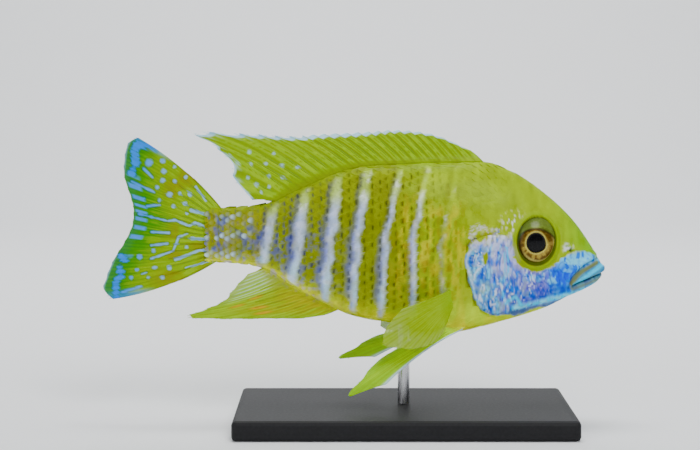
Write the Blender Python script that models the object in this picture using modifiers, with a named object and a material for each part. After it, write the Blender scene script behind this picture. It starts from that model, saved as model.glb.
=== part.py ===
# A male peacock cichlid as a still, life-size museum model, swimming with its nose a little low.
# One slim rod holds it over a flat base. Metres, +Z up: the fish faces +X, its left side is
# towards +Y, and the origin is below the rod, in the middle of the base's underside.

import math

import bmesh
import bpy
import numpy as np
from mathutils import Matrix, Vector

MM = 0.001
GAP = 0.3 * MM  # between pieces that touch

# Driving dimensions
STANDARD_LENGTH = 98 * MM  # from the snout to the end of the tail stalk
SNOUT = Vector((50 * MM, 0, 40 * MM))  # where the snout's tip is over the base
TAIL_SWEEP = 3.5 * MM  # how far the tail's tip swings to the left
SWEEP_START = 52 * MM  # behind the snout, where that swing begins

# Body stations in mm: distance behind the snout, back and belly above the snout's tip, half width
BODY_STATIONS = (
    (0.0, -0.6, -0.6, 0.0),
    (1.0, 1.4, -2.7, 2.9),
    (3.5, 5.7, -4.9, 4.3),
    (8.5, 12.4, -7.4, 5.7),
    (14.7, 18.1, -10.5, 7.0),
    (22.2, 23.2, -13.0, 8.1),
    (29.7, 26.0, -15.1, 8.7),
    (37.2, 26.2, -16.6, 8.8),
    (51.0, 25.8, -14.6, 8.1),
    (63.5, 24.6, -12.2, 6.7),
    (76.0, 19.7, -6.4, 4.9),
    (84.7, 15.7, -0.9, 3.6),
    (92.2, 14.7, 0.6, 2.6),
    (98.0, 14.6, 1.0, 1.6),
)
WIDEST_LEVEL_HEAD = 0.44  # of the depth above the belly
WIDEST_LEVEL_TAIL = 0.50
BACK_WEDGE = 1.22  # over 1 narrows the back towards the fins
BELLY_WEDGE = 0.92  # under 1 fills the belly out
RINGS = 46
RING_SIDES = 28

# Lines that part the body, seen from the side, in mm behind and above the snout's tip
NAPE_TO_THROAT = ((28.4, 34), (29.4, 20), (31.0, 6), (31.4, -3), (29.0, -10), (25.6, -14), (24.0, -24))
STALK_FRONT = ((86.0, 30), (87.2, 14), (87.2, 2), (86.0, -12))
MOUTH_CORNER = (8.2, -4.4)
GAPE_FRONT = -1.3
GAPE_AND_JAW = (
    (-4.0, 0.1), (0.0, GAPE_FRONT), (4.1, -2.9), MOUTH_CORNER, (12.0, -6.2), (17.0, -8.2), (20.2, -10.4),
    (21.6, -13.8), (22.0, -22.0),
)
UPPER_LIP_FOLD = ((8.6, -5.4), (7.8, -2.0), (6.2, 0.3), (3.6, 2.2), (-4.0, 4.6))
LIP_RADIUS = 0.72 * MM

# The gill cover's outline, in the same coordinates
GILL_COVER = (
    (25.0, 7.2), (28.5, 8.5), (32.2, 7.6), (34.6, 5.3), (35.4, 2.3), (34.8, -0.8), (33.8, -4.0),
    (33.0, -7.0), (31.6, -9.6), (29.4, -11.2), (26.6, -11.8), (23.4, -11.2), (24.6, -8.4),
    (25.2, -4.7), (25.2, 1.0),
)
COVER_PROUD = 0.45 * MM
COVER_DEPTH = 1.2 * MM

# Head fittings
EYE_BEHIND, EYE_ABOVE = 17.8 * MM, 6.9 * MM
EYE_RADIUS = 6.0 * MM
EYE_BULGE = 3.4 * MM  # half of the eyeball's depth across the head
EYE_MIDDLE_OUT = 4.3 * MM
EYE_OPENING = 5.0 * MM
EYE_TURN = math.radians(10)  # towards the snout
PUPIL_RADIUS = 2.4 * MM
ORBIT_RIM = 0.55 * MM
NOSTRIL_BEHIND, NOSTRIL_ABOVE = 8.9 * MM, 4.4 * MM
NOSTRIL_RADIUS = 0.55 * MM

# Fins: thickness of a ray at its root, of the membrane, and of the fleshy foot
RAY_THICK = 1.1 * MM
MEMBRANE_THICK = 0.5 * MM
FOOT_THICK = 1.9 * MM

# Stand
BASE_LENGTH, BASE_WIDTH, BASE_THICK = 84 * MM, 46 * MM, 5 * MM
BASE_CORNER = 1.0 * MM
ROD_RADIUS = 1.5 * MM
ROD_BEHIND = 50 * MM

# Finishes: linear colour, roughness and metallic, and the finish of each node by its name without its side
FINISHES = {
    "yellow_skin": ((0.62, 0.66, 0.03), 0.38, 0.0),
    "blue_skin": ((0.22, 0.42, 0.78), 0.30, 0.3),
    "yellow_fin": ((0.60, 0.66, 0.04), 0.40, 0.0),
    "green_fin": ((0.36, 0.52, 0.10), 0.40, 0.0),
    "pale_fin": ((0.62, 0.66, 0.18), 0.40, 0.0),
    "gold_eye": ((0.55, 0.38, 0.12), 0.20, 0.4),
    "black_eye": ((0.010, 0.010, 0.012), 0.10, 0.0),
    "dark_stand": ((0.020, 0.020, 0.022), 0.35, 0.0),
    "steel": ((0.60, 0.60, 0.62), 0.25, 1.0),
}
FINISH_OF = {
    "head": "yellow_skin", "torso": "yellow_skin", "tail_stalk": "yellow_skin",
    "upper_jaw": "blue_skin", "lower_jaw": "blue_skin", "gill_cover": "blue_skin",
    "eye": "gold_eye", "pupil": "black_eye",
    "dorsal_fin": "yellow_fin", "anal_fin": "yellow_fin", "tail_fin": "green_fin",
    "pectoral_fin": "pale_fin", "pelvic_fin": "yellow_fin",
    "stand_base": "dark_stand", "stand_rod": "steel",
}


def smooth(x, xs, ys):
    """A cubic curve through the points, with each slope taken from its neighbours."""
    xs, ys = np.asarray(xs, float), np.asarray(ys, float)
    slopes = np.gradient(ys, xs)
    i = int(np.clip(np.searchsorted(xs, x) - 1, 0, len(xs) - 2))
    span = xs[i + 1] - xs[i]
    t = min(max((x - xs[i]) / span, 0.0), 1.0)
    a, b = t * t * (3 - 2 * t), t * (1 - t)
    return float((1 - a) * ys[i] + a * ys[i + 1] + span * b * ((1 - t) * slopes[i] - t * slopes[i + 1]))


def step(x, low, high):
    """0 below low, 1 above high and smooth between."""
    t = min(max((x - low) / (high - low), 0.0), 1.0)
    return t * t * (3 - 2 * t)


def place(behind, above, out=0.0):
    """World place of a point given behind the snout, above its tip and out to the left."""
    return Vector((SNOUT.x - behind, SNOUT.y + out, SNOUT.z + above))


def profile(behind):
    """Back, belly and half width of the body. The square root gives the snout its round tip."""
    along = [math.sqrt(station[0]) for station in BODY_STATIONS]
    at = math.sqrt(max(behind / MM, 0.0))
    return [smooth(at, along, [station[k] for station in BODY_STATIONS]) * MM for k in (1, 2, 3)]


def body_point(behind, turn, grow=0.0):
    """A point of the body's surface. turn runs from the back, 0, down the left side to the belly, pi."""
    back, belly, half = profile(behind)
    back, belly, half = back + grow, belly - grow, half + grow
    share = WIDEST_LEVEL_HEAD + (WIDEST_LEVEL_TAIL - WIDEST_LEVEL_HEAD) * step(behind, 0.0, 0.5 * STANDARD_LENGTH)
    level = belly + share * (back - belly)
    up, side = math.cos(turn), math.sin(turn)
    wedge = BACK_WEDGE if up > 0 else BELLY_WEDGE
    reach = back - level if up > 0 else level - belly
    out = half * math.copysign(abs(side) ** wedge, side)
    stretch = (STANDARD_LENGTH + 2 * grow) / STANDARD_LENGTH
    return place(behind * stretch - grow, level + reach * up, out)


def side_out(behind, above):
    """How far the body's side stands out at that height."""
    points = [body_point(behind, turn) for turn in np.linspace(0, math.pi, 60)]
    heights = [point.z - SNOUT.z for point in points]
    return float(np.interp(-above, [-h for h in heights], [point.y for point in points]))


def material(name, colour, roughness, metallic):
    made = bpy.data.materials.new(name)
    made.use_nodes = True
    shader = made.node_tree.nodes["Principled BSDF"]
    shader.inputs["Base Color"].default_value = (*colour, 1.0)
    shader.inputs["Roughness"].default_value = roughness
    shader.inputs["Metallic"].default_value = metallic
    return made


def add_object(name, mesh, collection):
    made = bpy.data.objects.new(name, mesh)
    collection.objects.link(made)
    return made


def from_bmesh(name, shape, collection=None):
    bmesh.ops.recalc_face_normals(shape, faces=shape.faces)
    mesh = bpy.data.meshes.new(name)
    shape.to_mesh(mesh)
    shape.free()
    return add_object(name, mesh, collection or cutters)


def move_to_fish(thing):
    for home in list(thing.users_collection):
        home.objects.unlink(thing)
    fish.objects.link(thing)


def body_loft(name, grow=0.0):
    """The whole body from snout to tail stalk as one closed loft."""
    shape = bmesh.new()
    snout = shape.verts.new(body_point(0.0, 0.0, grow))
    rings = []
    for number in range(1, RINGS + 1):
        behind = STANDARD_LENGTH * (number / RINGS) ** 1.6
        turns = [2 * math.pi * side / RING_SIDES for side in range(RING_SIDES)]
        rings.append([shape.verts.new(body_point(behind, turn, grow)) for turn in turns])
    for side in range(RING_SIDES):
        after = (side + 1) % RING_SIDES
        shape.faces.new((snout, rings[0][side], rings[0][after]))
        for front, rear in zip(rings, rings[1:]):
            shape.faces.new((front[side], rear[side], rear[after], front[after]))
    shape.faces.new(rings[-1])
    return from_bmesh(name, shape)


def evaluated_mesh(thing):
    bpy.context.view_layer.update()
    graph = bpy.context.evaluated_depsgraph_get()
    mesh = bpy.data.meshes.new_from_object(thing.evaluated_get(graph))
    mesh.transform(thing.matrix_world)
    return mesh


def bake(thing):
    """Turns the object with its modifiers into a plain mesh at the origin."""
    mesh = evaluated_mesh(thing)
    thing.modifiers.clear()
    thing.data = mesh
    thing.matrix_world = Matrix.Identity(4)
    return thing


def combine(thing, others, operation):
    """Joins, cuts or crosses thing with the other objects, which are then removed. The solver is
    MANIFOLD because EXACT leaves holes where these curved walls and lofts meet."""
    tools = bpy.data.collections.new("tools")
    bpy.context.scene.collection.children.link(tools)
    for other in others:
        tools.objects.link(other)
    for other in others:
        for home in list(other.users_collection):
            if home != tools:
                home.objects.unlink(other)
    boolean = thing.modifiers.new("boolean", "BOOLEAN")
    boolean.operation = operation
    boolean.solver = "MANIFOLD"
    boolean.operand_type = "COLLECTION"
    boolean.collection = tools
    bake(thing)
    for other in others:
        bpy.data.objects.remove(other)
    bpy.data.collections.remove(tools)
    return thing


def loose_pieces(thing):
    """The closed surfaces of a mesh, each as a list of its face numbers."""
    shape = bmesh.new()
    shape.from_mesh(thing.data)
    unseen, pieces = set(shape.faces), []
    while unseen:
        front = [unseen.pop()]
        piece = set(front)
        while front:
            for edge in front.pop().edges:
                for face in edge.link_faces:
                    if face in unseen and len(edge.link_faces) == 2:
                        unseen.discard(face)
                        piece.add(face)
                        front.append(face)
        pieces.append([face.index for face in piece])
    shape.free()
    return pieces


def only_faces(mesh, numbers):
    shape = bmesh.new()
    shape.from_mesh(mesh)
    keep = set(numbers)
    drop = [face for face in shape.faces if face.index not in keep]
    bmesh.ops.delete(shape, geom=drop, context="FACES")
    kept = bpy.data.meshes.new(mesh.name)
    shape.to_mesh(kept)
    shape.free()
    return kept


def keep_largest(thing):
    pieces = loose_pieces(thing)
    if len(pieces) > 1:
        thing.data = only_faces(thing.data, max(pieces, key=len))
    return thing


def separate(thing, names, choose):
    """Splits thing into its closed pieces. choose gives each piece's name from its middle."""
    found = {}
    for numbers in loose_pieces(thing):
        mesh = only_faces(thing.data, numbers)
        points = np.array([vertex.co for vertex in mesh.vertices])
        name = choose(points)
        if name not in found or len(mesh.polygons) > len(found[name].polygons):
            found[name] = mesh
    bpy.data.objects.remove(thing)
    return {name: found[name] for name in names}


def outline_curve(name, outline, cyclic):
    """A flat curve in the side view, x behind and y above the snout's tip, smooth through its points."""
    curve = bpy.data.curves.new(name, "CURVE")
    curve.dimensions = "2D"
    spline = curve.splines.new("BEZIER" if cyclic else "POLY")
    if cyclic:
        spline.bezier_points.add(len(outline) - 1)
        for knot, (behind, above) in zip(spline.bezier_points, outline):
            knot.co = (-behind * MM, above * MM, 0)
            knot.handle_left_type = knot.handle_right_type = "AUTO"
        spline.resolution_u = 3
    else:
        spline.points.add(len(outline) - 1)
        for knot, (behind, above) in zip(spline.points, outline):
            knot.co = (-behind * MM, above * MM, 0, 1)
    spline.use_cyclic_u = cyclic
    made = bpy.data.objects.new(name, curve)
    cutters.objects.link(made)
    made.location = SNOUT
    made.rotation_euler = (math.radians(90), 0, 0)
    return made


def curve_to_mesh(drawn, name):
    mesh = evaluated_mesh(drawn)
    bpy.data.objects.remove(drawn)
    shape = bmesh.new()
    shape.from_mesh(mesh)
    bmesh.ops.remove_doubles(shape, verts=shape.verts, dist=0.005 * MM)
    return from_bmesh(name, shape)


def prism(name, outline, swell=1.0, reach=16 * MM):
    """A closed outline of the side view, run right through the fish."""
    middle = np.mean(outline, axis=0)
    grown = [tuple(middle + (np.array(point) - middle) * swell) for point in outline]
    drawn = outline_curve(name, grown, True)
    drawn.data.fill_mode = "BOTH"
    drawn.data.extrude = reach
    return curve_to_mesh(drawn, name)


def parting_wall(name, line, reach=16 * MM):
    """A thin sheet across the fish along a line of the side view, which parts what it crosses."""
    rounded = [
        (smooth(t, range(len(line)), [p[0] for p in line]), smooth(t, range(len(line)), [p[1] for p in line]))
        for t in np.linspace(0, len(line) - 1, 4 * len(line))
    ]
    drawn = outline_curve(name, rounded, False)
    drawn.data.extrude = reach
    wall = curve_to_mesh(drawn, name)
    thick = wall.modifiers.new("thick", "SOLIDIFY")
    thick.thickness = GAP
    thick.offset = 0.0
    return bake(wall)


def ellipsoid(name, middle, radii, turn=0.0, around=24, along=13):
    """A sphere pressed to three radii, with its poles across the fish."""
    shape = bmesh.new()
    bmesh.ops.create_uvsphere(shape, u_segments=around, v_segments=along, radius=1.0)
    bmesh.ops.rotate(shape, verts=shape.verts, matrix=Matrix.Rotation(math.radians(90), 3, "X"))
    bmesh.ops.scale(shape, verts=shape.verts, vec=radii)
    bmesh.ops.rotate(shape, verts=shape.verts, matrix=Matrix.Rotation(turn, 3, "Z"))
    bmesh.ops.translate(shape, verts=shape.verts, vec=middle)
    return from_bmesh(name, shape)


def cylinder_across(name, middle, radius, reach, turn=0.0, sides=26):
    """A cylinder whose axis runs across the fish."""
    shape = bmesh.new()
    bmesh.ops.create_cone(
        shape, cap_ends=True, segments=sides, radius1=radius, radius2=radius, depth=reach,
        matrix=Matrix.Translation(middle) @ Matrix.Rotation(turn, 4, "Z") @ Matrix.Rotation(math.radians(90), 4, "X"),
    )
    return from_bmesh(name, shape)


def rim(name, middle, major, minor, turn=0.0, sides=30):
    """A ring that lies on the side of the head."""
    bpy.ops.mesh.primitive_torus_add(
        location=middle, rotation=(math.radians(90), 0, turn),
        major_radius=major, minor_radius=minor, major_segments=sides, minor_segments=8,
    )
    ring = bpy.context.object
    ring.name = name
    return bake(ring)


def lip(name, above_gape, set_back):
    """A tube round the front of the snout, along the gape from one mouth corner to the other."""
    points = []
    for t in np.linspace(-1, 1, 19):
        behind = (1 - math.cos(t * math.radians(86))) * (MOUTH_CORNER[0] - 1.2) * MM
        slope = (MOUTH_CORNER[1] - GAPE_FRONT) / MOUTH_CORNER[0]
        level = GAPE_FRONT * MM + slope * (behind + set_back)
        out = math.copysign(side_out(max(behind, 0.4 * MM), level), t) if t else 0.0
        point = place(behind + set_back, level + above_gape, out * 0.97)
        points.append((point, 1.0 - 0.45 * abs(t) ** 3))
    curve = bpy.data.curves.new(name, "CURVE")
    curve.dimensions = "3D"
    curve.bevel_depth = LIP_RADIUS
    curve.bevel_resolution = 2
    curve.use_fill_caps = True
    spline = curve.splines.new("POLY")
    spline.points.add(len(points) - 1)
    for knot, (point, size) in zip(spline.points, points):
        knot.co = (*point, 1)
        knot.radius = size
    tube = bpy.data.objects.new(name, curve)
    cutters.objects.link(tube)
    return curve_to_mesh(tube, name)


def fin(name, root, tips, rays, rows, spines=0, bow=None, notch=0.04, out=None, sunk=1.2 * MM):
    """A membrane with its rays raised on both faces. root(u) and tips run from the fin's front edge,
    u = 0, to its rear edge, bow(u) curves a ray within the fin by that share of its length, and
    out gives the sideways place at a distance past the foot. Soft rays fork half way out, and the
    edge dips by notch between them."""
    edge = [t[0] for t in tips]
    columns = 3 * (rays - 1)
    shape = bmesh.new()
    bmesh.ops.create_grid(shape, x_segments=columns, y_segments=rows, size=0.5)
    weights = []
    for vertex in shape.verts:
        column = round((vertex.co.x + 0.5) * columns)
        v = vertex.co.y + 0.5
        ray, part = divmod(column, 3)
        u = (ray + (0, 0.27, 0.73)[part]) / (rays - 1)
        nearest = ray + (part == 2)
        fork = 0.0 if nearest < spines else step(v, 0.45, 0.65)
        ridge = 1 - 0.8 * fork if part == 0 else 0.7 * fork
        start = Vector(root(u))
        end = Vector((smooth(u, edge, [t[1] for t in tips]) * MM, smooth(u, edge, [t[2] for t in tips]) * MM))
        reach = end - start
        start -= reach.normalized() * sunk
        share = v * (1 - (notch if part else 0.0) * v)
        across = Vector((-reach.y, reach.x)) * (bow(u) if bow else 0.0) * 4 * share * (1 - share)
        spot = start + (end - start) * share + across
        past = v * (reach.length + sunk) - sunk
        vertex.co = place(spot.x, spot.y, out(past) if out else 0.0)
        foot = 1 - step(v * reach.length, sunk, sunk + 2.5 * MM)
        thick = max(MEMBRANE_THICK + (RAY_THICK - MEMBRANE_THICK) * ridge * (1 - 0.75 * v), FOOT_THICK * foot)
        weights.append((thick - MEMBRANE_THICK) / (FOOT_THICK - MEMBRANE_THICK))
    bmesh.ops.triangulate(shape, faces=shape.faces, quad_method="FIXED")
    sheet = from_bmesh(name, shape, fish)
    group = sheet.vertex_groups.new(name="thickness")
    for number, weight in enumerate(weights):
        group.add([number], weight, "REPLACE")
    thick = sheet.modifiers.new("thick", "SOLIDIFY")
    thick.thickness = FOOT_THICK
    thick.offset = 0.0
    thick.vertex_group = "thickness"
    thick.thickness_vertex_group = MEMBRANE_THICK / FOOT_THICK
    return bake(sheet)


def seat(thing):
    """Cuts a fin's foot to the body's surface, with the gap between them."""
    combine(thing, [body_loft("swollen_body", GAP)], "DIFFERENCE")
    return keep_largest(thing)


def along_back(first, last):
    """The line of a fin's foot on the back."""
    def root(u):
        behind = (first + (last - first) * u) * MM
        return behind, profile(behind)[0]
    return root


def along_belly(first, last):
    """The line of a fin's foot on the belly."""
    def root(u):
        behind = (first + (last - first) * u) * MM
        return behind, profile(behind)[1]
    return root


def straight(front, rear, sag=0.0):
    """A fin's foot between two places of the side view, bulging backwards by sag, all in mm."""
    def root(u):
        behind = front[0] + (rear[0] - front[0]) * u + sag * 4 * u * (1 - u)
        return behind * MM, (front[1] + (rear[1] - front[1]) * u) * MM
    return root


def turned(tips, pivot, degrees):
    """Fin tips swung about the fin's foot in the side view, the rear ones less."""
    moved = []
    for u, behind, above in tips:
        turn = math.radians(degrees * (1 - 0.3 * u))
        c, s = math.cos(turn), math.sin(turn)
        x, y = behind - pivot[0], above - pivot[1]
        moved.append((u, pivot[0] + c * x - s * y, pivot[1] + s * x + c * y))
    return moved


def build_body():
    """The body whole, cut for the eyes and gill covers, and parted with thin walls."""
    body = body_loft("body")
    rims = []
    for side in (1, -1):
        turn = -side * EYE_TURN
        out = side * (side_out(EYE_BEHIND, EYE_ABOVE) - 0.1 * MM)
        rims.append(rim("orbit", place(EYE_BEHIND, EYE_ABOVE, out), EYE_OPENING + 0.4 * MM, ORBIT_RIM, turn, 28))
        out = side * side_out(NOSTRIL_BEHIND, NOSTRIL_ABOVE)
        rims.append(rim("nostril", place(NOSTRIL_BEHIND, NOSTRIL_ABOVE, out), NOSTRIL_RADIUS + 0.2 * MM,
                        0.3 * MM, -side * math.radians(38), 14))
    combine(body, rims, "UNION")

    holes = []
    for side in (1, -1):
        middle = place(EYE_BEHIND, EYE_ABOVE, side * EYE_MIDDLE_OUT)
        radii = (EYE_RADIUS + GAP, EYE_BULGE + GAP, EYE_RADIUS + GAP)
        holes.append(ellipsoid("socket", middle, radii, -side * EYE_TURN))
        middle = place(NOSTRIL_BEHIND, NOSTRIL_ABOVE, side * side_out(NOSTRIL_BEHIND, NOSTRIL_ABOVE))
        holes.append(ellipsoid("nostril_pit", middle, (NOSTRIL_RADIUS, 0.9 * MM, NOSTRIL_RADIUS), 0.0, 10, 8))
    combine(body, holes, "DIFFERENCE")

    recess = prism("gill_recess", GILL_COVER, swell=1.04)
    combine(recess, [body_loft("gill_floor", -COVER_DEPTH - GAP)], "DIFFERENCE")
    combine(body, [recess], "DIFFERENCE")

    lines = (NAPE_TO_THROAT, STALK_FRONT, GAPE_AND_JAW, UPPER_LIP_FOLD)
    for number, line in enumerate(lines):
        combine(body, [parting_wall(f"wall_{number}", line)], "DIFFERENCE")

    def choose(points):
        behind = (SNOUT.x - points[:, 0].mean()) / MM
        above = (points[:, 2].mean() - SNOUT.z) / MM
        reach = np.ptp(points[:, 0]) / MM
        if behind > 86:
            return "tail_stalk"
        if behind > 32:
            return "torso"
        if reach > 24:
            return "head"
        return "upper_jaw" if above > -2.6 and reach < 10 else "lower_jaw"

    names = ("head", "torso", "tail_stalk", "upper_jaw", "lower_jaw")
    parts = separate(body, names, choose)
    made = {name: add_object(name, mesh, fish) for name, mesh in parts.items()}
    rise = LIP_RADIUS + GAP / 2
    for name, above, set_back in (("upper_jaw", rise, 0.3 * MM), ("lower_jaw", -rise, 0.9 * MM)):
        combine(made[name], [lip("lip", above, set_back)], "UNION")
        keep_largest(made[name])
    return made


def build_gill_covers():
    plate = body_loft("gill_plate", COVER_PROUD)
    combine(plate, [prism("cover_outline", GILL_COVER)], "INTERSECT")
    combine(plate, [body_loft("cover_inside", -COVER_DEPTH)], "DIFFERENCE")
    names = ("gill_cover_left", "gill_cover_right")
    parts = separate(plate, names, lambda points: names[0] if points[:, 1].mean() > 0 else names[1])
    for name, mesh in parts.items():
        add_object(name, mesh, fish)


def build_eyes():
    """Each eyeball with its pupil let in as a piece of its own."""
    for side, name in ((1, "left"), (-1, "right")):
        middle = place(EYE_BEHIND, EYE_ABOVE, side * EYE_MIDDLE_OUT)
        radii = (EYE_RADIUS, EYE_BULGE, EYE_RADIUS)
        turn = -side * EYE_TURN
        outwards = Matrix.Rotation(turn, 3, "Z") @ Vector((0, side, 0))
        hole_middle = middle + outwards * EYE_BULGE
        eye = ellipsoid(f"eye_{name}", middle, radii, turn)
        combine(eye, [cylinder_across("hole", hole_middle, PUPIL_RADIUS, 2 * EYE_BULGE, turn)], "DIFFERENCE")
        pupil = ellipsoid(f"pupil_{name}", middle, radii, turn)
        core = cylinder_across("core", hole_middle, PUPIL_RADIUS - GAP, 2 * (EYE_BULGE - GAP), turn)
        combine(pupil, [core], "INTERSECT")
        move_to_fish(eye)
        move_to_fish(pupil)


def build_fins():
    dorsal_tips = (
        (0.0, 33.7, 29.0), (0.1, 41.5, 32.5), (0.25, 51.5, 34.0), (0.4, 60.5, 33.5), (0.55, 70.5, 33.0),
        (0.68, 79.7, 32.5), (0.8, 92.2, 33.2), (0.87, 102.7, 33.0), (0.91, 97.5, 30.0),
        (0.94, 93.7, 25.7), (0.97, 92.2, 20.7), (1.0, 88.0, 16.5),
    )
    seat(fin("dorsal_fin", along_back(30.8, 83.0), dorsal_tips,
             rays=25, rows=5, spines=16, bow=lambda u: 0.04, notch=0.07))

    anal_tips = (
        (0.0, 70.5, -12.6), (0.1, 76.0, -13.4), (0.2, 83.5, -13.5), (0.35, 94.7, -13.7), (0.5, 105.0, -13.2),
        (0.62, 100.2, -11.2), (0.75, 95.5, -9.0), (0.87, 92.7, -5.7), (1.0, 89.2, -2.2),
    )
    seat(fin("anal_fin", along_belly(66.8, 85.4), anal_tips,
             rays=12, rows=5, spines=3, bow=lambda u: -0.03))

    caudal_tips = (
        (0.0, 117.5, 32.5), (0.06, 119.2, 30.7), (0.15, 120.2, 26.5), (0.25, 120.2, 22.0), (0.35, 118.7, 17.2),
        (0.5, 118.0, 13.0), (0.6, 118.5, 9.5), (0.7, 120.5, 5.5), (0.8, 123.2, 1.2), (0.9, 125.2, -3.5),
        (0.96, 126.0, -6.7), (1.0, 124.5, -9.0),
    )
    seat(fin("tail_fin", straight((95.8, 13.8), (96.2, 2.0), sag=1.4), caudal_tips,
             rays=17, rows=6, notch=0.03, bow=lambda u: 0.075 - 0.115 * u))

    pectoral_tips = (
        (0.0, 51.0, -9.2), (0.2, 55.0, -14.0), (0.35, 55.5, -17.7), (0.5, 51.7, -18.7),
        (0.65, 48.0, -19.0), (0.8, 44.2, -18.2), (1.0, 40.7, -15.5),
    )
    pelvic_tips = (
        (0.0, 54.7, -28.6), (0.2, 64.2, -31.2), (0.4, 61.0, -27.4), (0.6, 57.3, -23.2),
        (0.8, 51.8, -19.8), (1.0, 45.0, -16.4),
    )
    for side, name, swing in ((1, "left", 13.0), (-1, "right", 0.0)):
        foot_out = side_out(37.5 * MM, -6.6 * MM) - 2.0 * MM

        def pectoral_out(past, side=side, foot_out=foot_out):
            return side * (foot_out + 3.6 * MM * step(past, -1.2 * MM, 5.5 * MM) + 0.28 * past)

        seat(fin(f"pectoral_fin_{name}", straight((37.0, -4.6), (38.0, -8.8)), pectoral_tips,
                 rays=13, rows=4, out=pectoral_out))

        def pelvic_out(past, side=side):
            return side * (2.9 * MM + 0.26 * past)

        seat(fin(f"pelvic_fin_{name}", straight((36.0, -16.0), (39.6, -14.2)),
                 turned(pelvic_tips, (38.0, -16.0), swing),
                 rays=7, rows=5, spines=1, bow=lambda u: 0.05 * (1 - u) ** 2, out=pelvic_out))


def build_stand():
    bpy.ops.mesh.primitive_cube_add(size=1.0, location=(0, 0, BASE_THICK / 2))
    base = bpy.context.object
    base.name = "stand_base"
    base.data.transform(Matrix.Diagonal((BASE_LENGTH, BASE_WIDTH, BASE_THICK, 1)))
    edge = base.modifiers.new("edge", "BEVEL")
    edge.width = BASE_CORNER
    edge.segments = 2
    bake(base)
    foot = BASE_THICK + GAP
    top = place(ROD_BEHIND, profile(ROD_BEHIND)[1]).z + 2 * MM
    bpy.ops.mesh.primitive_cylinder_add(
        vertices=24, radius=ROD_RADIUS, depth=top - foot, location=(SNOUT.x - ROD_BEHIND, 0, (top + foot) / 2),
    )
    rod = bpy.context.object
    rod.name = "stand_rod"
    seat(rod)
    move_to_fish(base)
    move_to_fish(rod)


def swim_bend():
    """Sweeps the rear of the fish gently to its left, every piece by the same rule."""
    longest = 126 * MM - SWEEP_START
    for thing in fish.objects:
        if thing.name.startswith("stand_"):
            continue
        for vertex in thing.data.vertices:
            past = max(SNOUT.x - vertex.co.x - SWEEP_START, 0.0) / longest
            vertex.co.y += TAIL_SWEEP * past ** 2


for old in list(bpy.data.objects):
    bpy.data.objects.remove(old)
fish = bpy.data.collections.new("peacock_cichlid")
cutters = bpy.data.collections.new("cutters")
bpy.context.scene.collection.children.link(fish)
bpy.context.scene.collection.children.link(cutters)

build_body()
build_gill_covers()
build_eyes()
build_fins()
build_stand()
swim_bend()
made_finishes = {name: material(name, *values) for name, values in FINISHES.items()}
for thing in fish.objects:
    thing.data.materials.clear()
    thing.data.materials.append(made_finishes[FINISH_OF[thing.name.removesuffix("_left").removesuffix("_right")]])
    thing.data.shade_smooth()
    thing.data.set_sharp_from_angle(angle=math.radians(40))
bpy.data.collections.remove(cutters)
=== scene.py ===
# Peacock cichlid on its display stand: skin, scales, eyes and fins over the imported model.
import math
from types import SimpleNamespace

import bmesh
import bpy
import numpy as np
from mathutils import Matrix, Vector


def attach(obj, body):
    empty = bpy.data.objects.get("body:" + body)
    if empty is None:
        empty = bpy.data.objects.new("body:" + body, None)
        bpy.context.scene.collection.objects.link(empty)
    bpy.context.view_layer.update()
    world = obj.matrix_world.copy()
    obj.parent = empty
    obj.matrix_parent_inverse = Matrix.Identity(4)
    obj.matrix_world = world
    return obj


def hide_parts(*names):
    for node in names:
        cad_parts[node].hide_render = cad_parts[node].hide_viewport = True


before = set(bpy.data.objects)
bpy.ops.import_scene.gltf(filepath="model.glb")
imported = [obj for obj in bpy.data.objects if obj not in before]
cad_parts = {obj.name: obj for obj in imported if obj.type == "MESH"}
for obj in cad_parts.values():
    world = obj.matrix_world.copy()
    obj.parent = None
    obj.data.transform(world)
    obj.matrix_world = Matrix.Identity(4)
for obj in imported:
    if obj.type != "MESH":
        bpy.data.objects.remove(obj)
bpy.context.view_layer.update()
scene = bpy.context.scene
mm = 0.001


# helpers
def srgb(red, green, blue):
    c = np.array([red, green, blue], float) / 255
    return np.where(c <= 0.04045, c / 12.92, ((c + 0.055) / 1.055) ** 2.4)


def palette(**shades):
    return {name: srgb(*shade) for name, shade in shades.items()}


# smooth step from 0 at the first limit to 1 at the second, whichever is larger
def ease(x, zero, one):
    t = np.clip((np.asarray(x, float) - zero) / (one - zero), 0, 1)
    return t * t * (3 - 2 * t)


# 0 outside the first and last of four places, 1 between the two in the middle
def span(x, start, full, still, end):
    return ease(x, start, full) * ease(x, end, still)


# 1 at zero, fading out past the width
def bell(x, width, power=2):
    return np.exp(-(np.abs(x) / width) ** power)


# distance from a place of the side view, counted in half sizes
def oval(b, a, place, size):
    return np.hypot((b - place[0]) / size[0], (a - place[1]) / size[1])


def patchAt(b, a, place, size, power=2):
    return bell(oval(b, a, place, size), 1, power)


def mix(base, colour, weight):
    weight = np.clip(np.asarray(weight, float), 0, 1)[..., None]
    return base * (1 - weight) + np.asarray(colour) * weight


# each row lays one shade, or the tone of that name, over what lies below it
def layered(colour, tones, rows):
    for shade, weight in rows:
        colour = mix(colour, tones[shade] if isinstance(shade, str) else shade, weight)
    return colour


# the render's film softens bright colours, yellows most, so they are laid on deeper and stronger
film = {"more": 1.35, "deep": 0.94, "yellowLoss": np.array([0.55, 0.39, 0.97]), "start": 0.12, "range": 0.40}


def vivid(colour, more=film["more"]):
    grey = colour.mean(axis=-1, keepdims=True)
    strong = np.clip((grey + (colour - grey) * more) * film["deep"], 0, 1)
    most = strong.max(axis=-1)
    yellow = np.clip((strong[..., :2].min(axis=-1) - strong[..., 2]) / np.maximum(most, 0.01), 0, 1)
    deeper = yellow * np.clip((most - film["start"]) / film["range"], 0.25, 1)
    return strong * (1 - deeper[..., None] * film["yellowLoss"])


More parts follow.
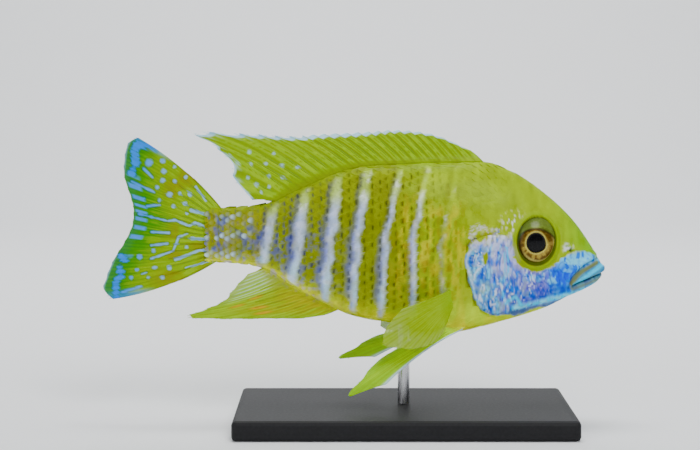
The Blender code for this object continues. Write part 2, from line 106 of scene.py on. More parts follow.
# smooth cubic through points, same rule as the solids
def curveAt(x, xs, ys):
    xs, ys, x = np.asarray(xs, float), np.asarray(ys, float), np.asarray(x, float)
    slopes = np.gradient(ys, xs)
    i = np.clip(np.searchsorted(xs, x) - 1, 0, len(xs) - 2)
    span = xs[i + 1] - xs[i]
    t = np.clip((x - xs[i]) / span, 0, 1)
    a, b = t * t * (3 - 2 * t), t * (1 - t)
    return (1 - a) * ys[i] + a * ys[i + 1] + span * b * ((1 - t) * slopes[i] - t * slopes[i + 1])


def noiseAt(x, y, size, seed):
    table = np.random.default_rng(seed).random((256, 256))
    x, y = np.asarray(x, float) / size, np.asarray(y, float) / size
    i, j = np.floor(x).astype(int), np.floor(y).astype(int)
    fx, fy = x - i, y - j
    fx, fy = fx * fx * (3 - 2 * fx), fy * fy * (3 - 2 * fy)
    low, high = (table[i & 255, k & 255] * (1 - fx) + table[(i + 1) & 255, k & 255] * fx for k in (j, j + 1))
    return low * (1 - fy) + high * fy


# blotches of that noise, none below the first level and full above the second
def blotches(x, y, size, seed, none, full):
    return ease(noiseAt(x, y, size, seed), none, full)


# distance to a line of the side view, and how far along it the nearest point is
def lineDistance(b, a, line):
    best, along = np.full(np.shape(b), 1e9), np.zeros(np.shape(b))
    line = np.asarray(line, float)
    for number, (p, q) in enumerate(zip(line, line[1:])):
        d = q - p
        t = np.clip(((b - p[0]) * d[0] + (a - p[1]) * d[1]) / (d @ d), 0, 1)
        away = np.hypot(b - p[0] - t * d[0], a - p[1] - t * d[1])
        nearer = away < best
        best = np.where(nearer, away, best)
        along = np.where(nearer, (number + t) / (len(line) - 1), along)
    return best, along


# positive inside a closed outline of the side view
def insideOutline(b, a, outline):
    outline = np.asarray(outline, float)
    away = lineDistance(b, a, np.vstack([outline, outline[:1]]))[0]
    inside = np.zeros(np.shape(b), bool)
    for p, q in zip(outline, np.roll(outline, -1, axis=0)):
        if p[1] != q[1]:
            crosses = (p[1] > a) != (q[1] > a)
            inside ^= crosses & (b < (q[0] - p[0]) * (a - p[1]) / (q[1] - p[1]) + p[0])
    return np.where(inside, away, -away)


def smoothLine(points, steps=6, closed=False):
    points = np.array(points[-2:] + points + points[:3] if closed else points, float)
    count = len(points)
    ends = (2, count - 3) if closed else (0, count - 1)
    t = np.linspace(*ends, steps * count)
    line = np.stack([curveAt(t, np.arange(count), column) for column in points.T], 1)
    return line[:-1] if closed else line


# the body's form: mm behind the snout's tip, above it and out
fish = {
    "length": 98.0, "whole": 126.0, "snout": (50.0, 0.0, 40.0), "tailSweep": 3.5, "sweepStart": 52.0,
    "skinUnder": 0.16,  # the skin lies this far inside, below the scales
    "stations": (
        (0, -0.6, -0.6, 0), (1, 1.4, -2.7, 2.9), (3.5, 5.7, -4.9, 4.3), (8.5, 12.4, -7.4, 5.7),
        (14.7, 18.1, -10.5, 7), (22.2, 23.2, -13, 8.1), (29.7, 26, -15.1, 8.7), (37.2, 26.2, -16.6, 8.8),
        (51, 25.8, -14.6, 8.1), (63.5, 24.6, -12.2, 6.7), (76, 19.7, -6.4, 4.9), (84.7, 15.7, -0.9, 3.6),
        (92.2, 14.7, 0.6, 2.6), (98, 14.6, 1, 1.6),
    ),
    "widest": (0.44, 0.50),  # level of the widest place at the head and the tail, of the depth
    "wedge": (1.22, 0.92),  # over 1 narrows the back, under 1 fills the belly out
}
stations = np.array(fish["stations"])


def profileAt(behind):
    at = np.sqrt(np.maximum(behind, 0))
    return [curveAt(at, np.sqrt(stations[:, 0]), stations[:, k]) for k in (1, 2, 3)]


# back and belly there, and the height as a share of the depth between them
def heightAt(b, a):
    back, belly = profileAt(b)[:2]
    return back, belly, np.clip((a - belly) / np.maximum(back - belly, 0.1), 0, 1)


def bodyAt(behind, turn, grow=0.0):
    back, belly, half = profileAt(behind)
    back, belly, half = back + grow, belly - grow, half + grow
    share = fish["widest"][0] + (fish["widest"][1] - fish["widest"][0]) * ease(behind, 0, fish["length"] / 2)
    level = belly + share * (back - belly)
    up, side = np.cos(turn), np.sin(turn)
    out = half * np.sign(side) * np.abs(side) ** np.where(up > 0, *fish["wedge"])
    above = level + np.where(up > 0, back - level, level - belly) * up
    stretch = (fish["length"] + 2 * grow) / fish["length"]
    return np.stack([behind * stretch - grow, above, out], -1)


def sideOut(behind, above, samples=90):
    points = bodyAt(np.full(samples, float(behind)), np.linspace(0, math.pi, samples))
    return float(np.interp(-above, -points[:, 1], points[:, 2]))


def sweepAt(behind):
    past = np.maximum(behind - fish["sweepStart"], 0) / (fish["whole"] - fish["sweepStart"])
    return fish["tailSweep"] * past ** 2


# from the fish's own coordinates to the world in metres, with the sweep of the tail
def toWorld(p):
    x, y, z = fish["snout"]
    return np.stack([x - p[..., 0], y + p[..., 2] + sweepAt(p[..., 0]), z + p[..., 1]], -1) * mm


def fromWorld(w):
    x, y, z = fish["snout"]
    behind = x - w[..., 0] / mm
    return np.stack([behind, w[..., 2] / mm - z, w[..., 1] / mm - y - sweepAt(behind)], -1)


# lines and places of the head: mm behind the snout's tip and above it
head = {
    "eye": (17.6, 6.75), "eyeOpening": (5.0, 6.0), "eyeTurn": math.radians(10), "nostril": (8.9, 4.4),
    "upperLip": ((-0.6, -0.2), (0.6, 1.3), (2.6, 1.5), (5.2, 0.3), (7.6, -1.5), (9.0, -3.4), (8.6, -4.8),
                 (6.4, -3.9), (4.1, -2.95), (0.6, -1.5)),
    "gape": smoothLine([(-0.5, -1.1), (0.6, -1.5), (4.1, -2.9), (6.4, -3.8), (8.2, -4.5)]),
    "lipFold": smoothLine([(1.3, 2.4), (3.4, 1.6), (5.2, 0.7), (7.4, -1.2), (8.7, -2.8), (9.4, -4.8)]),
    "lipStripe": smoothLine([(0.2, 0.4), (1.4, 0.3), (3.0, -0.7), (4.7, -1.8), (6.3, -2.9), (7.9, -4.0)]),
    "jawBone": smoothLine([(2.4, 1.1), (4.2, 0.2), (6.0, -0.8), (7.6, -2.2), (8.7, -3.8)]),
    "jawRidge": smoothLine([(1.2, -2.6), (3.8, -4.2), (6.6, -5.5), (10.4, -6.9), (14.6, -7.9), (19.9, -9.2),
                            (23.0, -9.8)]),
    "jawFold": smoothLine([(3.0, -4.4), (8.0, -6.9), (14.0, -9.3), (20.0, -10.9), (24.5, -11.6)]),
    "jawShadow": ((10.0, -4.9), (15.0, -5.6), (20.0, -6.4)),
    "coverHook": ((25.0, -8.6), (22.6, -6.9), (21.0, -9.2)),
    "cheekEdge": smoothLine([(25.4, 5.2), (25, 1.5), (25.1, -3), (25.2, -6.5), (23.6, -9), (18.5, -9.8)]),
    "throatFold": smoothLine([(34.2, -7.0), (33.0, -10.2), (30.4, -12.2), (26.5, -13.0), (20.5, -12.4),
                              (13.0, -10.6)]),
    "gillCover": smoothLine([
        (25.0, 7.2), (28.5, 8.5), (32.2, 7.6), (34.6, 5.3), (35.4, 2.3), (34.8, -0.8), (33.8, -4.0),
        (33.0, -7.0), (31.6, -9.6), (29.4, -11.2), (26.6, -11.8), (23.4, -11.2), (24.6, -8.4),
        (25.2, -4.7), (25.2, 1.0),
    ], 3, True),
    "blueFace": smoothLine([
        (0.0, -0.4), (0.9, 1.3), (3.4, 3.2), (6.0, 4.1), (9.0, 3.4), (11.8, 2.2), (14.0, 0.2), (18.6, -0.4),
        (22.8, 2), (24, 6.6), (26.8, 9.4), (30, 7.8), (33.2, 6.3), (35.3, 3.6), (35.5, 1.2), (34.8, -0.8),
        (33.9, -4.0), (33.1, -7.0), (31.7, -9.6), (29.6, -11.2), (26.0, -12.1), (20.0, -11.4), (13.0, -9.6),
        (8.0, -7.4), (4.0, -5.2), (1.2, -3.0),
    ], 3, True),
    # cyan patches: place, half sizes and strength; yellow spots: place and half sizes
    "cyanPatches": (((7, 1.7), (3.6, 0.95), 0.9), ((13.6, -3), (1.3, 1.1), 0.8),
                    ((17.3, -2.6), (0.8, 1.2), 0.8), ((33.6, -1), (1.5, 0.9), 0.8),
                    ((9.6, -0.6), (1, 0.6), 0.5)),
    "yellowSpots": (((31.7, 8.5), (1.3, 1.3)), ((30.3, 3.0), (0.75, 1.8))),
    # each fold: its line, half width and the share over which it starts
    "folds": (("jawFold", 0.30, 0.15), ("cheekEdge", 0.35, 0.15), ("throatFold", 0.28, 0.12)),
    "foldDepth": 0.30,
}


# how far the skin stands out from the plain body, in mm
def headRelief(b, a):
    r = oval(b, a, head["eye"], head["eyeOpening"])
    lift = 0.28 * bell(r - 1.06, 0.07) - 0.12 * bell(r - 1.24, 0.07) - 2.3 * ease(r, 1.0, 0.72)
    away, along = lineDistance(b, a, head["gape"])
    lift += 0.62 * bell(away - 0.95, 0.62) * (1 - 0.55 * along) - 1.15 * bell(away, 0.26)
    away, along = lineDistance(b, a, head["lipFold"])
    lift -= 0.42 * bell(away, 0.28) * np.sin(np.clip(along, 0.04, 1) * math.pi * 0.9 + 0.3)
    lift += 0.22 * bell(away - 0.9, 0.5) * (b > 2)
    away, along = lineDistance(b, a, head["jawRidge"])
    lift += 0.34 * bell(away, 0.75) * ease(along, 0.0, 0.3)
    for line, width, start in head["folds"]:
        away, along = lineDistance(b, a, head[line])
        lift -= head["foldDepth"] * bell(away, width) * span(along, 0, start, 0.85, 1)
    inside, rear = insideOutline(b, a, head["gillCover"]), ease(b, 25.5, 30.0)
    lift += 0.50 * ease(inside, -0.12, 0.30) * (0.25 + 0.75 * rear) - 0.42 * bell(inside + 0.45, 0.32) * rear
    away = oval(b, a, head["nostril"], (1, 1))
    lift += 0.22 * bell(away - 0.75, 0.22) - 0.85 * bell(away, 0.42)
    # faint bones and muscle under the skin
    lift += 0.12 * (noiseAt(b, a, 3.2, 5) - 0.5) * ease(b, 40, 32)
    return lift + 0.10 * (noiseAt(b * 1.3, a * 0.7, 0.9, 6) - 0.5) * ease(inside, -0.5, 0.5)


# markings
marks = palette(
    back=(164, 190, 6), nape=(190, 200, 0), side=(206, 212, 3), olive=(122, 130, 12), belly=(226, 218, 30),
    throat=(222, 226, 16), throatGrey=(196, 198, 110), snout=(140, 182, 8), amber=(236, 216, 2),
    rust=(158, 120, 8), peach=(238, 222, 128), stalk=(168, 164, 20), orange=(226, 178, 40),
    dash=(40, 44, 14), dashRear=(40, 46, 80), shade=(74, 78, 44), shadeBlue=(78, 84, 170), black=(0, 0, 0),
    bar=(196, 212, 236), barLow=(204, 234, 248), barHigh=(210, 226, 160), barRear=(112, 112, 206),
    cover=(84, 138, 230), blueLight=(152, 226, 255), blueMid=(66, 104, 234), blueDark=(52, 74, 176),
    deep=(36, 92, 152), violet=(134, 122, 200), periwinkle=(140, 150, 222), violetGrey=(146, 142, 184),
    lilac=(200, 200, 238), white=(236, 240, 255), cyan=(104, 216, 255), iceCyan=(176, 240, 255),
    greyGreen=(150, 176, 160), jawGrey=(92, 122, 160), lipGrey=(122, 128, 84), lipBlue=(84, 132, 160),
    lid=(170, 186, 16), lidEdge=(44, 62, 40),
)
# each bar: place at mid-height, lean above and below it, strength, half its width
marks["bars"] = (
    (84.0, 0.20, 0.25, 0.95, 1.15), (76.1, 0.12, 0.17, 1.0, 1.35), (68.4, 0.14, 0.11, 1.0, 1.22),
    (61.9, 0.18, 0.06, 0.97, 0.95), (54.8, 0.23, 0.06, 0.90, 0.78), (48.1, 0.22, -0.02, 0.85, 0.74),
    (41.0, 0.23, -0.03, 0.62, 0.70),
)
marks["barMiddle"] = 7


# strength of the pale bars, of the violet in each one's rear half and of the dark blotch behind it
def barsAt(b, a):
    wave = 0.7 * (noiseAt(b * 0.2, a, 2.6, 11) - 0.5) + 0.25 * (noiseAt(b, a, 0.8, 13) - 0.5)
    total = tint = shade = np.zeros(np.shape(b))
    higher = a - marks["barMiddle"]
    for place, above, below, strength, half in marks["bars"]:
        away = b - place + np.where(higher > 0, above, below) * higher + wave
        wide = half * (0.75 + 0.55 * noiseAt(a, place, 2.6, 14))
        total = np.maximum(total, strength * ease(np.abs(away), wide * 1.45, wide * 0.35))
        tint = np.maximum(tint, bell(away - wide * 0.85, 0.55))
        shade = np.maximum(shade, strength * bell(away - wide * 1.5, 0.80))
    back, belly = profileAt(b)[:2]
    reach = ease(back - a, 0.2, 2.6) * ease(a - belly, 0.3, 1.8)
    broken = 0.62 + 0.68 * noiseAt(b * 1.6, a * 0.55, 1.0, 12)
    return np.clip(total * reach * broken, 0, 1), tint, shade * reach


def flankColour(b, a, bars, tint, shade):
    back, belly, height = heightAt(b, a)
    rear = ease(b + 3 * (noiseAt(b, a, 4.0, 20) - 0.5), 41, 55)
    upright = noiseAt(b * 1.6, a * 0.35, 1.0, 43)
    shoulder = span(b, 33, 37, 50, 56) * ease(height, 0.1, 0.25)
    colour = layered(marks["side"], marks, (
        ("olive", 0.92 * rear * (1 - 0.3 * ease(height, 0.88, 1.0))),
        ("back", 0.8 * ease(height, 0.90, 1.0) * (1 - 0.7 * rear)),
        ("nape", 0.85 * span(b, 4, 16, 30, 46) * ease(height, 0.55, 0.85)),
        ("snout", ease(b, 17, 3) * ease(height, 0.45, 0.75)),
        ("belly", 0.9 * ease(height, 0.14, 0.03)),
        ("throat", ease(b, 40, 28) * ease(height, 0.36, 0.16)),
        ("orange", 0.26 * blotches(b, a * 0.6, 3, 21, 0.55, 0.9) * ease(height, 0.75, 0.5) * ease(b, 62, 44)),
        ("peach", 0.60 * bell(height - 0.04, 0.05) * ease(b, 44, 56)),
        # upright yellow and grey-olive streaks between the gill cover and the first strong bar
        ("amber", 0.85 * shoulder * ease(upright, 0.45, 0.70) * ease(height, 0.85, 0.65)),
        ("rust", 0.5 * shoulder * blotches(b * 1.8, a * 0.6, 0.9, 50, 0.6, 0.8) * ease(height, 0.9, 0.7)),
        ("olive", 0.36 * shoulder * ease(upright, 0.45, 0.20)),
    ))
    colour *= (0.84 + 0.32 * noiseAt(b, a * 0.5, 1.1, 22))[..., None]
    barColour = layered(marks["bar"], marks, (
        ("barLow", ease(height, 0.42, 0.12)),
        ("barHigh", ease(height, 0.70, 0.88)),
        ("nape", 0.7 * ease(b, 50, 38)),
        ("barRear", tint * (0.35 + 0.5 * bell(height - 0.38, 0.25)) * ease(height, 0.86, 0.68)),
        ("white", 0.5 * blotches(b * 1.5, a, 1.2, 26, 0.5, 0.8)),
    ))
    # brown and blue shadow along each bar's rear edge, bluer low and towards the tail
    shadow = mix(marks["shade"], marks["shadeBlue"], 0.35 + 0.6 * ease(height, 0.65, 0.35))
    cast = ease(b, 56, 80) * (1 - 0.75 * ease(height, 0.5, 0.85)) * blotches(b * 1.6, a, 0.9, 24, 0.42, 0.75)
    stalk = ease(b + 2 * (noiseAt(b, a, 2.0, 28) - 0.5), 82, 88) * ease(back - a, 0.8, 2.6)
    stalk *= ease(a - belly, 0.3, 1.6)
    rearBlue = blotches(b * 1.7 - 0.5 * a, a * 0.9, 1.2, 29, 0.58, 0.8)
    return layered(colour, marks, (
        (shadow, 0.62 * shade * (0.45 + 0.55 * ease(b, 46, 60)) * ease(height, 0.05, 0.2)),
        ("nape", 0.25 * rear * (1 - shade) * blotches(b, a, 0.8, 25, 0.6, 0.8)),
        (barColour, bars),
        # blue specks low on the rear of the body
        ("shadeBlue", 0.6 * cast * (1 - bars)),
        # tail stalk: a golden ground under grey and blue blotches; its pale spots are on the scales
        ("stalk", 0.75 * stalk * blotches(b, a, 1.6, 27, 0.35, 0.6)),
        ("shade", 0.38 * stalk * blotches(b * 1.4 + 0.5 * a, a * 0.6, 1.2, 23, 0.52, 0.75)),
        ("shadeBlue", (0.26 + 0.4 * ease(b, 92, 96)) * stalk * rearBlue),
    ))


# the blue of cheek, jaw and gill cover, its fine noise and where it is brightest, laid white there as pale
# speckles and painted glints
def faceColour(b, a, edge, crown):
    warp = 1.6 * (noiseAt(b, a, 2.0, 33) - 0.5)
    streak = noiseAt(b * 1.7 + warp, a * 0.50 + warp * 0.4, 0.9, 34)
    fine = noiseAt(b * 1.3 + warp, a * 0.8 - warp, 0.50, 36)
    veins = ease(np.abs(noiseAt(b * 1.1 + warp, a * 0.6 + warp, 1.5, 37) - 0.5), 0.12, 0.02)
    ripple = noiseAt(b * 2.0 + 2 * warp, a * 0.8 - warp, 1.0, 38)
    pale = blotches(b * 1.5 - warp, a * 0.45 + warp, 0.8, 39, 0.50, 0.72)
    cells = noiseAt(b * 1.2 - warp, a * 0.9 + warp, 0.75, 51)
    cheek = ease(b, 26, 23.5) * ease(a, 3.5, 0.5) * ease(b, 12, 16)
    royal = patchAt(b, a, (10.9, -1.7), (3.6, 3.0), 3.2)
    dark = patchAt(b, a, (33.5, 3.4), (0.9, 1.3), 3) + 0.8 * patchAt(b, a, (33.2, 0.7), (1.2, 0.8))
    rim = bell(edge - 0.55, 0.45) * ease(b, 30, 32)
    onCover = ease(b, 25.5, 27) * (1 - rim)
    bright = ease(0.45 * streak + 0.55 * fine, 0.58, 0.74) * ease(b, 12, 20)
    behindEye = np.maximum(span(b, 19.5, 22, 27, 30) * ease(a, -3, 1), crown)
    toShadow, toHook = (lineDistance(b, a, head[line])[0] for line in ("jawShadow", "coverHook"))
    toEdge, alongEdge = lineDistance(b, a, head["cheekEdge"])
    brokenEdge = blotches(b * 1.5, a, 1.3, 46, 0.35, 0.60) * ease(alongEdge, 1, 0.8)
    toRidge = lineDistance(b, a, head["jawRidge"])[0]
    stripe = bell(toRidge, 0.48 + 0.30 * streak)
    below = (a < np.interp(b, *head["jawRidge"].T)) * ease(toRidge, 0.5, 1.2) * (b < 24)
    blue = layered(marks["cover"], marks, (
        ("blueLight", 0.85 * ease(streak, 0.42, 0.66)),
        ("periwinkle", 0.75 * ease(ripple, 0.40, 0.65) * ease(b, 11, 16) * (1 - 0.5 * ease(b, 25, 28))),
        ("lilac", 0.70 * pale * ease(b, 13, 18) * (1 - 0.5 * ease(b, 26, 30))),
        ("violet", 0.75 * cheek * blotches(b + warp, a, 2.1, 35, 0.30, 0.6)),
        ("blueMid", royal * (0.75 + 0.25 * ease(fine, 0.3, 0.6))),
        ("deep", 0.8 * dark * (0.5 + 0.5 * ease(fine, 0.3, 0.6))),
        *(("blueLight", strength * ease(oval(b, a, place, size) + 0.8 * (fine - 0.5), 1.15, 0.6))
          for place, size, strength in head["cyanPatches"]),
        (marks["blueDark"] * 1.2, 0.75 * bell(toShadow, 1.1) * (0.5 + 0.8 * streak)),
        ("blueLight", 0.55 * rim),
        ("white", 0.60 * rim * blotches(b, a, 1.1, 45, 0.35, 0.65)),
        ("blueLight", 0.70 * onCover * blotches(b, a, 1.4, 48, 0.50, 0.68)),
        ("deep", 0.55 * onCover * blotches(b * 1.2, a, 1.0, 49, 0.62, 0.80)),
        ("greyGreen", 0.75 * patchAt(b, a, (30.8, -5.6), (1.7, 2.4)) * ease(fine, 0.25, 0.6)),
        ("blueDark", 0.62 * veins * (0.35 + 0.65 * ease(b, 9, 14)) * (1 - 0.6 * rim)),
        ("blueDark", 0.50 * ease(cells, 0.55, 0.75) * ease(b, 11, 15) * (1 - rim)),
        ("greyGreen", 0.40 * ease(cells, 0.38, 0.20) * ease(b, 14, 20)),
        # white where the blue is brightest: partly pale speckles, partly painted glints
        ("white", 0.8 * bright),
        ("lilac", 0.80 * behindEye * ease(streak, 0.25, 0.55)),
        ("violetGrey", 0.60 * behindEye * ease(ripple, 0.50, 0.30)),
        ("cyan", 0.70 * brokenEdge * bell(toEdge - 0.40, 0.26)),
        ("blueDark", 0.60 * bell(toRidge - 1.05, 0.35) * ease(b, 8, 11)),
        ("jawGrey", 0.75 * below),
        ("cyan", 0.97 * stripe * ease(0.75 + 0.5 * fine, 0.75, 0.95)),
        ("iceCyan", 0.75 * stripe ** 2 * blotches(b, a * 1.4, 0.9, 47, 0.42, 0.65)),
        ("cyan", 0.85 * bell(toHook, 0.42)),
    ))
    return blue, fine, bright


# lips, nostril, eye ring and gill cover's edge, over the face
def headLines(colour, b, a, fine):
    toGape, toFold, toStripe, toBone = (
        lineDistance(b, a, head[line])[0] for line in ("gape", "lipFold", "lipStripe", "jawBone"))
    over = a > np.interp(b, *head["gape"].T)
    near = ease(b, 10.5, 8.6)
    ring = oval(b, a, (31.6, 8.6), (2.6, 2.3)) + 0.7 * (fine - 0.5)
    around = patchAt(b, a, (9.6, 4.9), (1.5, 1.6), 3)
    glint = blotches(b * 1.4, a, 0.6, 41, 0.56, 0.78) * patchAt(b, a, (23.5, 11.6), (3.4, 2.8))
    glint += blotches(b * 1.2, a * 0.7, 0.7, 42, 0.60, 0.8) * patchAt(b, a, (27, 7.5), (4.5, 2.6))
    r = oval(b, a, head["eye"], head["eyeOpening"])
    lid = mix(marks["lid"], marks["violet"], 0.4 * ease(b, 20, 23) * ease(a, 9, 4))
    inside = insideOutline(b, a, head["gillCover"])
    return layered(colour, marks, (
        ("lipBlue", 0.80 * ease(insideOutline(b, a, head["upperLip"]), -0.15, 0.25)),
        ("lipGrey", 0.92 * bell(toBone, 0.60, 4)),
        (marks["lipGrey"] * 0.75, 0.80 * over * bell(toGape - 0.25, 0.45) * near * ease(b, 1.5, 3)),
        ("cyan", 0.96 * bell(toStripe, 0.50, 4) * (1 - 0.25 * fine)),
        (marks["lipGrey"] * 0.8, 0.85 * ~over * bell(toGape - 0.60, 0.42) * near),
        # painted shade: black in the gape and along the lip's fold, creases that lie in shade
        ("black", 0.85 * bell(toGape, 0.27)),
        ("black", 0.55 * bell(toFold, 0.26)),
        # pale ring and yellow spots at the top of the gill cover
        ("lilac", 0.7 * bell(ring - 0.85, 0.22) * (a < 11.5)),
        *((marks["side"] * 0.8, 0.92 * ease(oval(b, a, place, size) + 0.5 * (fine - 0.5), 1.1, 0.6))
          for place, size in head["yellowSpots"]),
        # pale flecks round the nostril, over the cheek and behind the eye, partly the fish's own speckles and
        # partly painted glints
        ("greyGreen", 0.75 * around * ease(fine, 0.2, 0.5)),
        ("white", 0.8 * around * blotches(b, a, 0.55, 44, 0.55, 0.75)),
        ("white", 0.85 * np.clip(glint, 0, 1)),
        # skin ring round the eye, and its dark inner edge
        (lid, 0.85 * ease(np.abs(r - 1.10), 0.16, 0.06)),
        ("lidEdge", 0.9 * ease(r, 1.04, 0.98)),
        # painted shade: black in the nostril's hollow and in the groove along the gill cover's rear edge
        ("black", 0.8 * bell(oval(b, a, head["nostril"], (1, 1)), 0.45)),
        ("black", 0.55 * bell(inside + 0.40, 0.30) * ease(b, 27, 30)),
        ("throatGrey", 0.6 * patchAt(b, a, (35.6, -5.5), (1.5, 4.5)) * (inside < -0.6)),
    ))


# colour and shine of the body's surface
def bodyColour(b, a):
    bars, tint, shade = barsAt(b, a)
    wobble = 0.9 * (noiseAt(b, a, 1.5, 31) - 0.5) + 0.5 * (noiseAt(b, a, 0.6, 32) - 0.5)
    edge = insideOutline(b, a, head["blueFace"])
    crown = ease(b, 19, 22) * ease(a, 4, 7)  # behind the eye the blue breaks up into pale flecks
    face = ease(edge + wobble * (1 + 2.2 * crown), -0.35 - 1.0 * crown, 0.35 + 1.2 * crown)
    blue, fine, bright = faceColour(b, a, edge, crown)
    colour = headLines(mix(flankColour(b, a, bars, tint, shade), blue, face), b, a, fine)
    # painted light: the underside, which gets less light, is painted brighter, most towards the head
    under = ease(heightAt(b, a)[2], 0.30, 0.03) * (1 - face) * (1 - bars)
    lift = 1 + (0.75 + 0.45 * ease(b, 50, 38)) * under
    shine = np.clip(0.35 * bars + 0.40 * face * (0.3 + bright), 0, 0.6)
    return np.clip(vivid(colour) * lift[..., None], 0, 1), shine


# meshes
def addLayer(mesh, name, kind, values):
    layer = mesh.attributes.new(name, kind, "POINT")
    label = {"FLOAT_COLOR": "color", "FLOAT_VECTOR": "vector"}.get(kind, "value")
    layer.data.foreach_set(label, np.asarray(values, np.float32).ravel())


def readLayer(data, label, width):
    values = np.empty(len(data) * width, np.float32)
    data.foreach_get(label, values)
    return values.reshape(-1, width).astype(float)


# the colour layer's alpha holds shine, or how solid a fin is
def addColours(mesh, colours, alpha=None):
    alpha = np.ones(len(colours)) if alpha is None else alpha
    addLayer(mesh, "coat", "FLOAT_COLOR", np.concatenate([colours, alpha[:, None]], 1))


def addObject(name, data):
    made = bpy.data.objects.new(name, data)
    scene.collection.objects.link(made)
    return made


def meshObject(name, vertices, faces=(), edges=(), colours=None, alpha=None):
    mesh = bpy.data.meshes.new(name)
    mesh.from_pydata([tuple(v) for v in vertices], edges, [tuple(f) for f in faces])
    mesh.update()
    if colours is not None:
        addColours(mesh, colours, alpha)
    mesh.shade_smooth()
    return addObject(name, mesh)


def fixNormals(made, crease=None):
    shape = bmesh.new()
    shape.from_mesh(made.data)
    bmesh.ops.recalc_face_normals(shape, faces=shape.faces)
    if crease:
        for edge in shape.edges:
            edge.smooth = edge.calc_face_angle(0) < crease
    shape.to_mesh(made.data)
    shape.free()


# a closed and coloured mesh from points in the fish's own coordinates
def closedPiece(name, points, faces, colours, alpha):
    made = meshObject(name, toWorld(points), faces, (), colours, alpha)
    fixNormals(made)
    return made


# quads of a grid of points, and its border in order
def gridFaces(shape):
    at = np.arange(shape[0] * shape[1]).reshape(shape)
    quads = np.stack([at[:-1, :-1], at[1:, :-1], at[1:, 1:], at[:-1, 1:]], -1).reshape(-1, 4)
    return quads, np.concatenate([at[0, :-1], at[:-1, -1], at[-1, :0:-1], at[:0:-1, 0]])


# rings joined to a tube, with its ends drawn to the two points after them
def ringFaces(rings, around):
    at = np.arange(rings * around).reshape(rings, around)
    ahead = np.roll(at, -1, axis=1)
    quads = np.stack([at[:-1], ahead[:-1], ahead[1:], at[1:]], -1).reshape(-1, 4)
    first, second = np.full(around, rings * around), np.full(around, rings * around + 1)
    ends = np.vstack([np.stack([first, ahead[0], at[0]], -1), np.stack([second, at[-1], ahead[-1]], -1)])
    return quads.tolist() + ends.tolist()


def unit(vectors):
    return vectors / np.maximum(np.linalg.norm(vectors, axis=-1, keepdims=True), 1e-9)


# what the frame calls say of one plain mesh
def finished(made, nodes=(), material=None):
    if material:
        made.data.materials.append(material)
    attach(made, "root")
    if nodes:
        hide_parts(*nodes)


# nodes: values and links are both given by the input's name or number
def setInputs(tree, node, values=None, links=None):
    for label, value in (values or {}).items():
        node.inputs[label].default_value = value
    for label, output in (links or {}).items():
        tree.links.new(output, node.inputs[label])


def addNode(tree, kind, values=None, links=None, **settings):
    node = tree.nodes.new(kind)
    for label, value in settings.items():
        setattr(node, label, value)
    setInputs(tree, node, values, links)
    return node


def noiseNode(tree, place, size, detail):
    values = {"Scale": size, "Detail": detail}
    return addNode(tree, "ShaderNodeTexNoise", values, {"Vector": place}).outputs["Fac"]


def rangeNode(tree, value, low, high):
    values = {"To Min": low, "To Max": high}
    return addNode(tree, "ShaderNodeMapRange", values, {"Value": value}).outputs["Result"]


def bumpNode(tree, height, strength, distance):
    values = {"Strength": strength, "Distance": distance}
    return addNode(tree, "ShaderNodeBump", values, {"Height": height}).outputs["Normal"]


def newMaterial(name):
    made = bpy.data.materials.new(name)
    made.use_nodes = True
    tree = made.node_tree
    return made, tree, tree.nodes["Principled BSDF"], addNode(tree, "ShaderNodeTexCoord").outputs["Object"]


# looks of the fish's surfaces; mottle and grain are noise per metre and strength
looks = {
    "skin": {"mottle": (900, 0.10), "grain": (2200, 0.35), "roughness": 0.36, "metal": 0.5},
    "scales": {"mottle": (1500, 0.12), "grain": (2600, 0.25), "roughness": 0.34, "metal": 0.5},
    "finMembrane": {"mottle": (1200, 0.10), "grain": (2400, 0.30), "roughness": 0.38, "clear": True},
    "finRays": {"mottle": (1200, 0.08), "grain": (2400, 0.20), "roughness": 0.40},
    "eye": {"mottle": (2600, 0.10), "grain": (3000, 0.10), "roughness": 0.25, "metal": 0.35, "wet": 0.12,
            "wetRough": 0.05, "gloss": 0.12},
}


# colours come from the coat layer, mottled a little
def coatedMaterial(name, look):
    made, tree, shader, place = newMaterial(name)
    coat = addNode(tree, "ShaderNodeAttribute", attribute_name="coat").outputs
    (mottleScale, strength), (grainScale, grain) = look["mottle"], look["grain"]
    mottle = noiseNode(tree, place, mottleScale, 5)
    tone = rangeNode(tree, mottle, 1 - strength, 1 + strength)
    scaled = addNode(tree, "ShaderNodeVectorMath", None, {0: coat["Color"], "Scale": tone}, operation="SCALE")
    links = {
        "Base Color": scaled.outputs["Vector"],
        "Roughness": rangeNode(tree, mottle, look["roughness"] - 0.08, look["roughness"] + 0.10),
        "Normal": bumpNode(tree, noiseNode(tree, place, grainScale, 4), grain, 0.0002),
    }
    if "metal" in look:
        metal = addNode(tree, "ShaderNodeMath", {1: look["metal"]}, {0: coat["Alpha"]}, operation="MULTIPLY")
        links["Metallic"] = metal.outputs[0]
    if "clear" in look:
        links["Alpha"] = coat["Alpha"]
    setInputs(tree, shader, {
        "Specular IOR Level": look.get("gloss", 0.03), "Coat Weight": look.get("wet", 0.02),
        "Coat Roughness": look.get("wetRough", 0.15),
    }, links)
    return made


materials = {name: coatedMaterial(name, look) for name, look in looks.items()}

# skin: its rows lie closer on the head, and closer still at the snout; places are mm behind the snout
skin = {
    "rows": 424, "around": 234, "headEnd": 38.0, "rearSpacing": 2.8, "snoutDense": 1.12, "sideDense": 0.3,
    "reliefEnd": 40.0,
    "facing": (0.12, 0.45),  # relief fades where the skin turns away from the side view
    "snoutEnd": 3.0, "snoutFacing": 0.6,  # but never below this share at the snout
    "bare": (30, 22),  # bare skin comes up to the body's full size where no scales lie
    "shaded": (30, 40), "scaleShade": 0.30, "tipTone": 0.8, "tipShine": 0.2,
}


